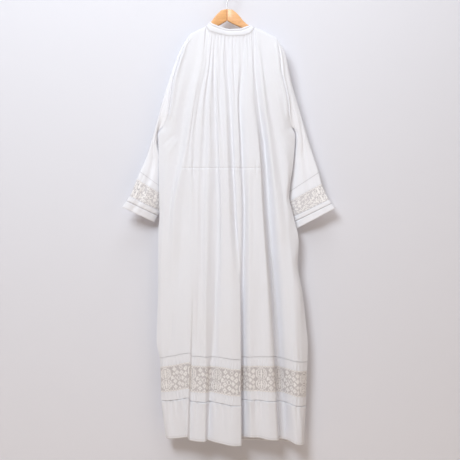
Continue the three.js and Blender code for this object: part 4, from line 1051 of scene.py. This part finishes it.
class ClothSettings(bpy.types.PropertyGroup):
    linen_colour: FloatVectorProperty(
        name="Linen", description="Colour of the bleached linen", subtype="COLOR", size=3,
        default=(0.77, 0.785, 0.838), min=0, max=1)
    lace_colour: FloatVectorProperty(
        name="Lace", description="Colour of the lace's threads", subtype="COLOR", size=3,
        default=(0.7, 0.675, 0.69), min=0, max=1)
    cuff_lace_colour: FloatVectorProperty(
        name="Cuff lace", description="Colour of the finer lace of the cuffs", subtype="COLOR", size=3,
        default=(0.8, 0.79, 0.82), min=0, max=1)
    threads: FloatProperty(
        name="Threads", description="Threads per metre of the weave", default=1500.0, min=300, max=4000)
    crumple: FloatProperty(
        name="Crumple", description="Height of the soft crumple, in millimetres", default=0.8, min=0, max=4)
    columns_per_fold: IntProperty(
        name="Columns", description="Columns of the mesh between two folds", default=8, min=2, max=12)
    square: FloatProperty(
        name="Lace square", description="Size of one square of the lace", default=0.0032, min=0.002,
        max=0.01, unit="LENGTH")
    hem_thickness: FloatProperty(
        name="Hem", description="Thickness of a turned hem", default=0.0009, min=0.0003, max=0.003,
        unit="LENGTH")


class HangerSettings(bpy.types.PropertyGroup):
    wood_colour: FloatVectorProperty(
        name="Wood", description="Colour of the varnished wood", subtype="COLOR", size=3,
        default=(0.8, 0.44, 0.19), min=0, max=1)
    wire: FloatProperty(
        name="Wire", description="Diameter of the hook's wire", default=2 * WIRE_RADIUS * MM, min=0.001,
        max=0.004, unit="LENGTH")


class StudioSettings(bpy.types.PropertyGroup):
    wall_colour: FloatVectorProperty(
        name="Wall", description="Colour of the wall", subtype="COLOR", size=3,
        default=(0.735, 0.745, 0.805), min=0, max=1)
    floor_colour: FloatVectorProperty(
        name="Floor", description="Colour of the pale floor", subtype="COLOR", size=3,
        default=(0.8, 0.68, 0.57), min=0, max=1)
    wall_gap: FloatProperty(
        name="Wall gap", description="Distance of the wall behind the hook", default=0.054, min=0.03,
        max=1, unit="LENGTH")
    key_power: FloatProperty(
        name="Key light", description="Power of the large soft light", default=88.0, min=0, max=500,
        unit="POWER")


BODY = "root"


def dress(piece, slot, *nodes):
    """A finished piece rides on the frame's one body, and the parts it replaces are hidden; slot is not
    used.
    """
    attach(piece, BODY)
    if nodes:
        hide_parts(*nodes)
    return piece


def sew(piece, slot, held, rests_on, *nodes):
    """Dresses a piece of cloth. held, how it is held, and rests_on, what it hangs from, are not used."""
    dress(piece, slot, *nodes)


class SMOCK_OT_body(bpy.types.Operator):
    """Back and front of the body, with folds, gathers, creases and the front slit"""

    bl_idname = "smock.add_body"
    bl_label = "Body"

    def execute(self, context):
        cloth = context.scene.smock_cloth
        levels = np.concatenate([
            [NECK_LINE, -168, -170], np.arange(-173, -330, -3.0), np.arange(-330, -616, -5.5),
            np.arange(-617, -657, -2.0), np.arange(-658, -1240, -6.0),
            np.arange(-1241, BAND_TOP + 2, -3.5), [BAND_TOP + HALF_STITCHING]])
        linen = linen_material("Linen", cloth)
        for key, panel in PANELS.items():
            columns = cloth.columns_per_fold if key == "back" else cloth.columns_per_fold + 2
            places = np.arange(panel.last * columns + 1) / columns
            grid = panel.points(places, levels)

            def keep(i, j, key=key, columns=columns):
                if key == "back":
                    return np.ones(i.shape, bool)
                in_slit = (i >= SLIT_FOLD * columns) & (i < (SLIT_FOLD + 1) * columns)
                return ~(in_slit & (levels[j + 1] >= BACK))

            piece = cloth_piece(f"{key}_of_body", grid, linen, flip=key == "front", keep=keep)
            sew(piece, "linen", "gathered", "hanger_arms", f"{key}_panel")
        return {"FINISHED"}


class SMOCK_OT_band(bpy.types.Operator):
    """Narrow stitched neckband, open at the front slit"""

    bl_idname = "smock.add_neckband"
    bl_label = "Neckband"

    def execute(self, context):
        cloth = context.scene.smock_cloth
        front, back = PANELS["front"], PANELS["back"]
        parts = [
            (front, front.even_places(NECK_LINE, 2.0, SLIT_FOLD + 1, front.tips[1] - 0.02)[:-1]),
            (back, back.even_places(NECK_LINE, 2.0, *back.tips)[::-1]),
            (front, front.even_places(NECK_LINE, 2.0, front.tips[0] + 0.02, SLIT_FOLD)[1:]),
        ]
        shares = np.linspace(0, 1, 17)
        columns = [self.column(panel, place, shares) for panel, places in parts for place in places]
        linen = linen_material("Linen band", cloth, stitch_rows=BAND_STITCHING)
        piece = cloth_piece("stitched_neckband", np.array(columns), linen, thickness=1.5)
        sew(piece, "linen", "stretched", "hanger_arms", "neckband")
        return {"FINISHED"}

    @staticmethod
    def column(panel, place, shares):
        """Points up the band from its seam, at a place along it."""
        bottom = panel.points([place], [NECK_LINE], creased=False)[0, 0]
        tip = place in panel.tips
        across, out, height = (through_stops(BAND_EDGE["bottom_across"], BAND_EDGE[row], bottom[0])
                               for row in ("top_across", "out", panel.key))
        if tip:
            bottom[1] = middle_depth(bottom[0], NECK_LINE)
        top = np.array([across, middle_depth(across, NECK_LINE) + panel.towards * out, height])
        way = top - bottom
        start = bottom + way / np.linalg.norm(way) * SEAM
        points = start + (top - start) * shares[:, None]
        groove = BAND_GROOVE * bell(shares - 0.7, 0.07)
        bulge = (BAND_BULGE * np.sin(np.pi * shares) - groove) * (0 if tip else 1)
        points[:, 1] += panel.towards * bulge
        return points


class SMOCK_OT_hem(bpy.types.Operator):
    """Stitched strips, lace insertion and flounce round the bottom of the body"""

    bl_idname = "smock.add_hem"
    bl_label = "Hem bands"

    def execute(self, context):
        cloth = context.scene.smock_cloth
        linen = linen_material("Linen", cloth)
        hem_linen = linen_material("Linen flounce", cloth, stitch_rows=HEM_STITCHING)
        lace = lace_material("Hem lace", cloth.lace_colour)
        thread = thread_material(cloth)
        square = cloth.square / MM
        for key, panel in PANELS.items():
            flip = key == "front"
            places = panel.even_places(BAND_TOP, 1.9)
            upper = panel.points(places, np.linspace(BAND_TOP - HALF_STITCHING, LACE_TOP + HALF_SEAM, 12))
            piece = cloth_piece(f"upper_strip_{key}", upper, linen, flip=flip)
            sew(piece, "linen", "hung", f"{key}_of_body", f"hem_strip_upper_{key}")

            squares = panel.even_places((LACE_TOP + LACE_BOTTOM) / 2, square)
            rows = np.linspace(LACE_TOP - HALF_SEAM, LACE_BOTTOM + HALF_SEAM, len(LACE_CHART) + 1)
            piece = lace_piece(f"lace_band_{key}", panel.points(squares, rows), lace, flip=flip)
            sew(piece, "lace", "hung", f"upper_strip_{key}", f"hem_lace_{key}")

            lower = panel.points(
                places, np.linspace(LACE_BOTTOM - HALF_SEAM, BAND_BOTTOM + HALF_STITCHING, 12))
            piece = cloth_piece(f"lower_strip_{key}", lower, linen, flip=flip)
            sew(piece, "linen", "hung", f"lace_band_{key}", f"hem_strip_lower_{key}")

            ruffle = panel.even_places((BAND_BOTTOM + HEM) / 2, 2.6)
            levels = np.concatenate([
                np.linspace(BAND_BOTTOM - HALF_STITCHING, HEM + 12, 30), [HEM + 8, HEM + 4, HEM]])
            piece = cloth_piece(f"flounce_of_{key}", panel.points(ruffle, levels), hem_linen, flip=flip,
                                thickness=cloth.hem_thickness / MM)
            sew(piece, "linen", "hung", f"lower_strip_{key}", f"flounce_{key}")

            for name, level in (("upper", BAND_TOP), ("lower", BAND_BOTTOM)):
                edges = panel.points(places, [level + HALF_STITCHING, level - HALF_STITCHING])
                piece = ladder_piece(f"{name}_hemstitch_{key}", *edges.transpose(1, 0, 2), thread, flip=flip)
                dress(piece, "linen")
        return {"FINISHED"}


class SMOCK_OT_sleeves(bpy.types.Operator):
    """Both sleeves: linen, stitched strip, lace insertion and cuff"""

    bl_idname = "smock.add_sleeves"
    bl_label = "Sleeves"

    def execute(self, context):
        cloth = context.scene.smock_cloth
        # painted light: the sleeves and cuffs take a lighter copy of the body's linen
        linen = linen_material("Linen sleeve", cloth, painted_light_factor=SLEEVE_PAINTED_LIGHT)
        cuff_linen = linen_material("Linen cuff", cloth, stitch_rows=CUFF_HEM_STITCHING, painted_light_factor=SLEEVE_PAINTED_LIGHT)
        lace = lace_material("Cuff lace", cloth.cuff_lace_colour)
        thread = thread_material(cloth)
        for side, arm in ARMS.items():
            flip = side == "right"
            rings = np.concatenate([
                [0, 0.05, 0.12, 0.2, 0.3], np.linspace(0.4, SLEEVE_END - STITCHING_RING, 66)])
            piece = cloth_piece(f"{side}_sleeve", arm.around(rings, 44), linen, wrap=True, flip=flip)
            sew(piece, "linen", "hung", "back_of_body", f"sleeve_{side}")

            strip = arm.around(np.linspace(SLEEVE_END + STITCHING_RING, CUFF_LACE_TOP - SEAM_RING, 9), 50)
            piece = cloth_piece(f"{side}_sleeve_strip", strip, linen, wrap=True, flip=flip)
            sew(piece, "linen", "hung", f"{side}_sleeve", f"sleeve_strip_{side}")

            squares = arm.around(
                np.linspace(CUFF_LACE_TOP + SEAM_RING, CUFF_LACE_BOTTOM - SEAM_RING, 20), 40)
            piece = lace_piece(f"{side}_cuff_lace", squares, lace, wrap=True, flip=flip)
            sew(piece, "lace", "hung", f"{side}_sleeve_strip",
                f"sleeve_lace_{side}_back", f"sleeve_lace_{side}_front")

            upper = arm.around(
                np.linspace(CUFF_LACE_BOTTOM + SEAM_RING, CUFF_STITCHING - STITCHING_RING, 6), 50)
            lower = arm.around(np.linspace(CUFF_STITCHING + STITCHING_RING, CUFF_END, 9), 50)
            for name, grid in (("upper", upper), ("lower", lower)):
                made = cloth_piece(f"{side}_cuff_{name}", grid, cuff_linen if name == "lower" else linen,
                                   wrap=True, flip=flip, thickness=cloth.hem_thickness / MM)
                replaced = [f"cuff_{side}"] if name == "lower" else []
                sew(made, "linen", "hung", f"{side}_cuff_lace", *replaced)
            for name, at in (("sleeve", SLEEVE_END), ("cuff", CUFF_STITCHING)):
                edges = arm.around(np.array([at - STITCHING_RING, at + STITCHING_RING]), 60)
                closed = np.concatenate([edges, edges[:1]], axis=0).transpose(1, 0, 2)
                made = ladder_piece(f"{side}_{name}_hemstitch", *closed, thread, flip=flip)
                dress(made, "linen")
        return {"FINISHED"}


class SMOCK_OT_button(bpy.types.Operator):
    """Small dished button with four holes, and its thread loop across the slit"""

    bl_idname = "smock.add_button"
    bl_label = "Button"

    def execute(self, context):
        low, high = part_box("neck_button")
        centre = (low + high) / 2
        radius = (high.x - low.x) / 2
        thickness = high.y - low.y
        deselect_all()
        bpy.ops.mesh.primitive_cylinder_add(
            vertices=32, radius=radius, depth=thickness, location=centre, rotation=(math.pi / 2, 0, 0))
        button = context.object
        button.name = "small_shell_button"
        bpy.ops.object.transform_apply(location=True, rotation=True, scale=True)
        bpy.ops.object.mode_set(mode="EDIT")
        bpy.ops.mesh.select_all(action="DESELECT")
        bpy.ops.object.mode_set(mode="OBJECT")
        for face in button.data.polygons:
            face.select = face.normal.y > 0.9
        bpy.ops.object.mode_set(mode="EDIT")
        bpy.ops.mesh.inset(thickness=radius * 0.3)
        bpy.ops.transform.translate(value=(0, -thickness * 0.25, 0))
        bpy.ops.object.mode_set(mode="OBJECT")
        from_middle = radius * 0.26
        for right, up in ((-1, -1), (-1, 1), (1, -1), (1, 1)):
            hole_at = centre + Vector((right * from_middle, 0, up * from_middle))
            deselect_all()
            bpy.ops.mesh.primitive_cylinder_add(
                vertices=12, radius=radius * 0.13, depth=thickness * 3, location=hole_at,
                rotation=(math.pi / 2, 0, 0))
            drill = context.object
            apply_modifier(button, "BOOLEAN", operation="DIFFERENCE", object=drill)
            bpy.data.objects.remove(drill)
        apply_modifier(button, "BEVEL", width=0.3 * MM, segments=2, limit_method="ANGLE")
        make_active(button)
        bpy.ops.object.shade_smooth_by_angle(angle=math.radians(35))
        button.data.materials.clear()
        button.data.materials.append(shell_material())
        dress(button, "shell", "neck_button")

        thread = thread_material(context.scene.smock_cloth)
        seat = SMOCK_OT_band.column(PANELS["front"], SLIT_FOLD - 0.02, np.array([0.62, 0.4]))
        upper, lower = seat + [0, 1.1, 0]
        reach = np.array([9.0, 1.2, 0])
        loop = [upper, upper + reach * 0.6, upper + reach + [0, 0, -1.4],
                (upper + lower) / 2 + reach * 1.12, lower + reach + [0, 0, 1.4],
                lower + reach * 0.6, lower]
        made = wire_piece("button_loop", loop, 0.5, thread)
        dress(made, "linen")
        return {"FINISHED"}


def wire_piece(name, route, radius, material, resolution=4):
    """A round wire or thread along a smooth route, made a mesh with closed ends."""
    curve = bpy.data.curves.new(name, "CURVE")
    curve.dimensions = "3D"
    spline = curve.splines.new("BEZIER")
    spline.bezier_points.add(len(route) - 1)
    for point, at in zip(spline.bezier_points, route):
        point.co = Vector(at) * MM
        point.handle_left_type = point.handle_right_type = "AUTO"
    curve.bevel_depth = radius * MM
    curve.bevel_resolution = resolution
    curve.resolution_u = 6
    curve.use_fill_caps = True
    piece = bpy.data.objects.new(name, curve)
    bpy.context.scene.collection.objects.link(piece)
    make_active(piece)
    bpy.ops.object.convert(target="MESH")
    piece = bpy.context.object
    piece.name = name
    piece.data.materials.clear()
    piece.data.materials.append(material)
    bpy.ops.object.shade_smooth_by_angle(angle=math.radians(50))
    return piece


class SMOCK_OT_hanger(bpy.types.Operator):
    """Wooden arms with rounded edges and the open wire hook"""

    bl_idname = "smock.add_hanger"
    bl_label = "Hanger"

    def execute(self, context):
        hanger = context.scene.smock_hanger
        wood = wood_material(hanger)
        arms = [self.arm(side) for side in (-1, 1)]
        make_active(arms[0])
        arms[1].select_set(True)
        bpy.ops.object.join()
        piece = context.object
        piece.name = "hanger_arms"
        bpy.ops.object.shade_smooth_by_angle(angle=math.radians(40))
        piece.data.materials.clear()
        piece.data.materials.append(wood)
        dress(piece, "wood", "hanger_arm_left", "hanger_arm_right")

        bow = HOOK_RADIUS + WIRE_RADIUS
        foot = ARM_TOPS[0]
        route = [(0, 0, foot + SEAM), (0, 0, foot + 14), (0.6, 0, -HOOK_RADIUS - bow - 7)]
        for angle in np.arange(-62, 206, 26.7):
            turn = math.radians(angle)
            route.append((bow * math.cos(turn), 0, -HOOK_RADIUS + bow * math.sin(turn)))
        radius = hanger.wire / MM / 2
        hook = wire_piece("wire_hook", route, radius, wire_material(), resolution=6)
        dress(hook, "steel", "hanger_hook")
        return {"FINISHED"}

    @staticmethod
    def arm(side):
        """One arm, drawn out of a block station by station and rounded along its edges."""
        stations = [HALF_SEAM] + [at for at in ARM_STATIONS[1:] if at < ARM_END] + [ARM_END]
        deselect_all()
        bpy.ops.mesh.primitive_plane_add(size=1, location=(0, 0, 0), rotation=(0, math.pi / 2, 0))
        arm = bpy.context.object

        def section(at, shrink=1.0):
            """Where the arm's middle lies at a station, and its height there."""
            across = side * at
            top, bottom = float(arm_top(across)), float(arm_bottom(across))
            return Vector((across, ARM_FORWARD * at, (top + bottom) / 2)) * MM, (top - bottom) * shrink * MM

        place, height = section(stations[0])
        bpy.ops.transform.resize(value=(1, 2 * ARM_HALF_THICKNESS * MM, height), center_override=(0, 0, 0))
        bpy.ops.transform.translate(value=place)
        bpy.ops.object.transform_apply(location=True, rotation=True, scale=True)
        bpy.ops.object.mode_set(mode="EDIT")
        bpy.ops.mesh.select_all(action="SELECT")
        for at in stations[1:]:
            shrink = ARM_END_SHARE if at == ARM_END else 1.0
            last, last_height = place, height
            place, height = section(at, shrink)
            bpy.ops.mesh.extrude_region_move(TRANSFORM_OT_translate={"value": place - last})
            bpy.ops.transform.resize(value=(1, shrink, height / last_height), center_override=place)
        bpy.ops.mesh.select_all(action="SELECT")
        bpy.ops.mesh.normals_make_consistent(inside=False)
        bpy.ops.object.mode_set(mode="OBJECT")
        apply_modifier(arm, "BEVEL", width=ARM_ROUNDING * MM, segments=4, limit_method="ANGLE",
                       angle_limit=math.radians(50))
        return arm


FLOOR_DROP = 0.13  # metres from the hem down to the floor
CAMERA_PLACE = (0.0105, -3.2, -0.854)  # level with the middle of what the picture shows
# Each light: place, height that it points at, size, share of the key light's power, and colour
LIGHTS = {
    "key_light": ((-1.1, -2.8, 1.2), -0.7, 1.3, 1.0, (0.9, 0.955, 1.0)),
    "top_light": ((0.1, -0.9, 1.5), -0.6, 1.2, 0.22, (0.93, 0.97, 1.0)),
    "fill_light": ((2.2, -2.4, -0.2), -0.8, 2.0, 0.12, (1.0, 0.95, 0.9)),
    "back_light": ((0.9, 2.6, 1.2), -0.4, 1.6, 0.32, (1.0, 0.93, 0.82)),
}
AIR = {"Color": (1.0, 0.77, 0.6, 1.0), "Strength": 0.21}


class SMOCK_OT_studio(bpy.types.Operator):
    """Plain pale wall and floor, soft lights and the camera"""

    bl_idname = "smock.add_studio"
    bl_label = "Studio"

    def execute(self, context):
        studio = context.scene.smock_studio
        gap = studio.wall_gap
        floor_level = HEM * MM - FLOOR_DROP
        wall = self.sheet(
            "studio_wall", [(-4, gap, floor_level), (4, gap, floor_level), (4, gap, 2.6), (-4, gap, 2.6)],
            self.paint("Wall paint", studio.wall_colour, one_sided=True))
        wall.visible_shadow = False
        floor = self.sheet(
            "studio_floor", [(x, y, floor_level) for x, y in ((-5, -5), (5, -5), (5, 5), (-5, 5))],
            self.paint("Floor paint", studio.floor_colour))

        camera_data = bpy.data.cameras.new("photo_camera")
        camera = bpy.data.objects.new("photo_camera", camera_data)
        context.scene.collection.objects.link(camera)
        camera.location = CAMERA_PLACE
        camera.rotation_euler = (math.pi / 2, 0, 0)
        camera_data.lens = 71.1
        camera_data.sensor_width = 36
        context.scene.camera = camera

        for name, (place, aim, size, share, colour) in LIGHTS.items():
            self.area(name, place, (0, 0, aim), size, studio.key_power * share, colour)
        world = bpy.data.worlds.new("studio_air")
        world.use_nodes = True
        Nodes(world.node_tree).feed(world.node_tree.nodes["Background"], AIR)
        context.scene.world = world
        context.scene.view_settings.view_transform = "Standard"
        return {"FINISHED"}

    @staticmethod
    def sheet(name, corners, material):
        mesh = bpy.data.meshes.new(name)
        mesh.from_pydata(corners, [], [[0, 1, 2, 3]])
        mesh.materials.append(material)
        item = bpy.data.objects.new(name, mesh)
        bpy.context.scene.collection.objects.link(item)
        return item

    @staticmethod
    def paint(name, colour, one_sided=False):
        """Matt paint, clear from behind if it is one-sided."""
        material, nodes, shader = new_material(name)
        cloud = nodes.noise(nodes.coordinates("Object"), 1.3, 2.0)
        nodes.feed(shader, {"Base Color": nodes.mix(cloud, tone(colour, 1), tone(colour, 0.985)),
                            "Roughness": 0.95, "Specular IOR Level": 0.1})
        if one_sided:
            behind = nodes.add("ShaderNodeNewGeometry").outputs["Backfacing"]
            clear = nodes.add("ShaderNodeBsdfTransparent").outputs[0]
            either = nodes.add("ShaderNodeMixShader", {0: behind, 1: shader.outputs[0], 2: clear})
            nodes.feed(nodes.tree.nodes["Material Output"], {"Surface": either.outputs[0]})
        return material

    @staticmethod
    def area(name, place, aim, size, power, colour):
        data = bpy.data.lights.new(name, "AREA")
        data.shape = "SQUARE"
        data.size = size
        data.energy = power
        data.color = colour
        lamp = bpy.data.objects.new(name, data)
        lamp.location = place
        lamp.rotation_euler = (Vector(aim) - Vector(place)).to_track_quat("-Z", "Y").to_euler()
        bpy.context.scene.collection.objects.link(lamp)


class SMOCK_PT_panel(bpy.types.Panel):
    """Smock tools in the 3D view's sidebar"""

    bl_idname = "SMOCK_PT_panel"
    bl_label = "Smock"
    bl_space_type = "VIEW_3D"
    bl_region_type = "UI"
    bl_category = "Smock"

    def draw(self, context):
        for name in ("smock_cloth", "smock_hanger", "smock_studio"):
            settings = getattr(context.scene, name)
            box = self.layout.box()
            for key in settings.bl_rna.properties.keys():
                if key not in ("rna_type", "name"):
                    box.prop(settings, key)
        for operator in OPERATORS:
            self.layout.operator(operator.bl_idname)


SETTINGS = {
    "smock_cloth": ClothSettings,
    "smock_hanger": HangerSettings,
    "smock_studio": StudioSettings,
}
OPERATORS = (SMOCK_OT_studio, SMOCK_OT_hanger, SMOCK_OT_body, SMOCK_OT_band, SMOCK_OT_hem, SMOCK_OT_sleeves,
             SMOCK_OT_button)


def register():
    for cls in (*SETTINGS.values(), *OPERATORS, SMOCK_PT_panel):
        bpy.utils.register_class(cls)
    for name, cls in SETTINGS.items():
        setattr(bpy.types.Scene, name, PointerProperty(type=cls))


def unregister():
    for name in SETTINGS:
        delattr(bpy.types.Scene, name)
    for cls in reversed((*SETTINGS.values(), *OPERATORS, SMOCK_PT_panel)):
        bpy.utils.unregister_class(cls)


def main():
    register()
    bpy.ops.smock.add_studio()
    bpy.ops.smock.add_hanger()
    bpy.ops.smock.add_body()
    bpy.ops.smock.add_neckband()
    bpy.ops.smock.add_hem()
    bpy.ops.smock.add_sleeves()
    bpy.ops.smock.add_button()
    deselect_all()


if __name__ == "__main__":
    main()
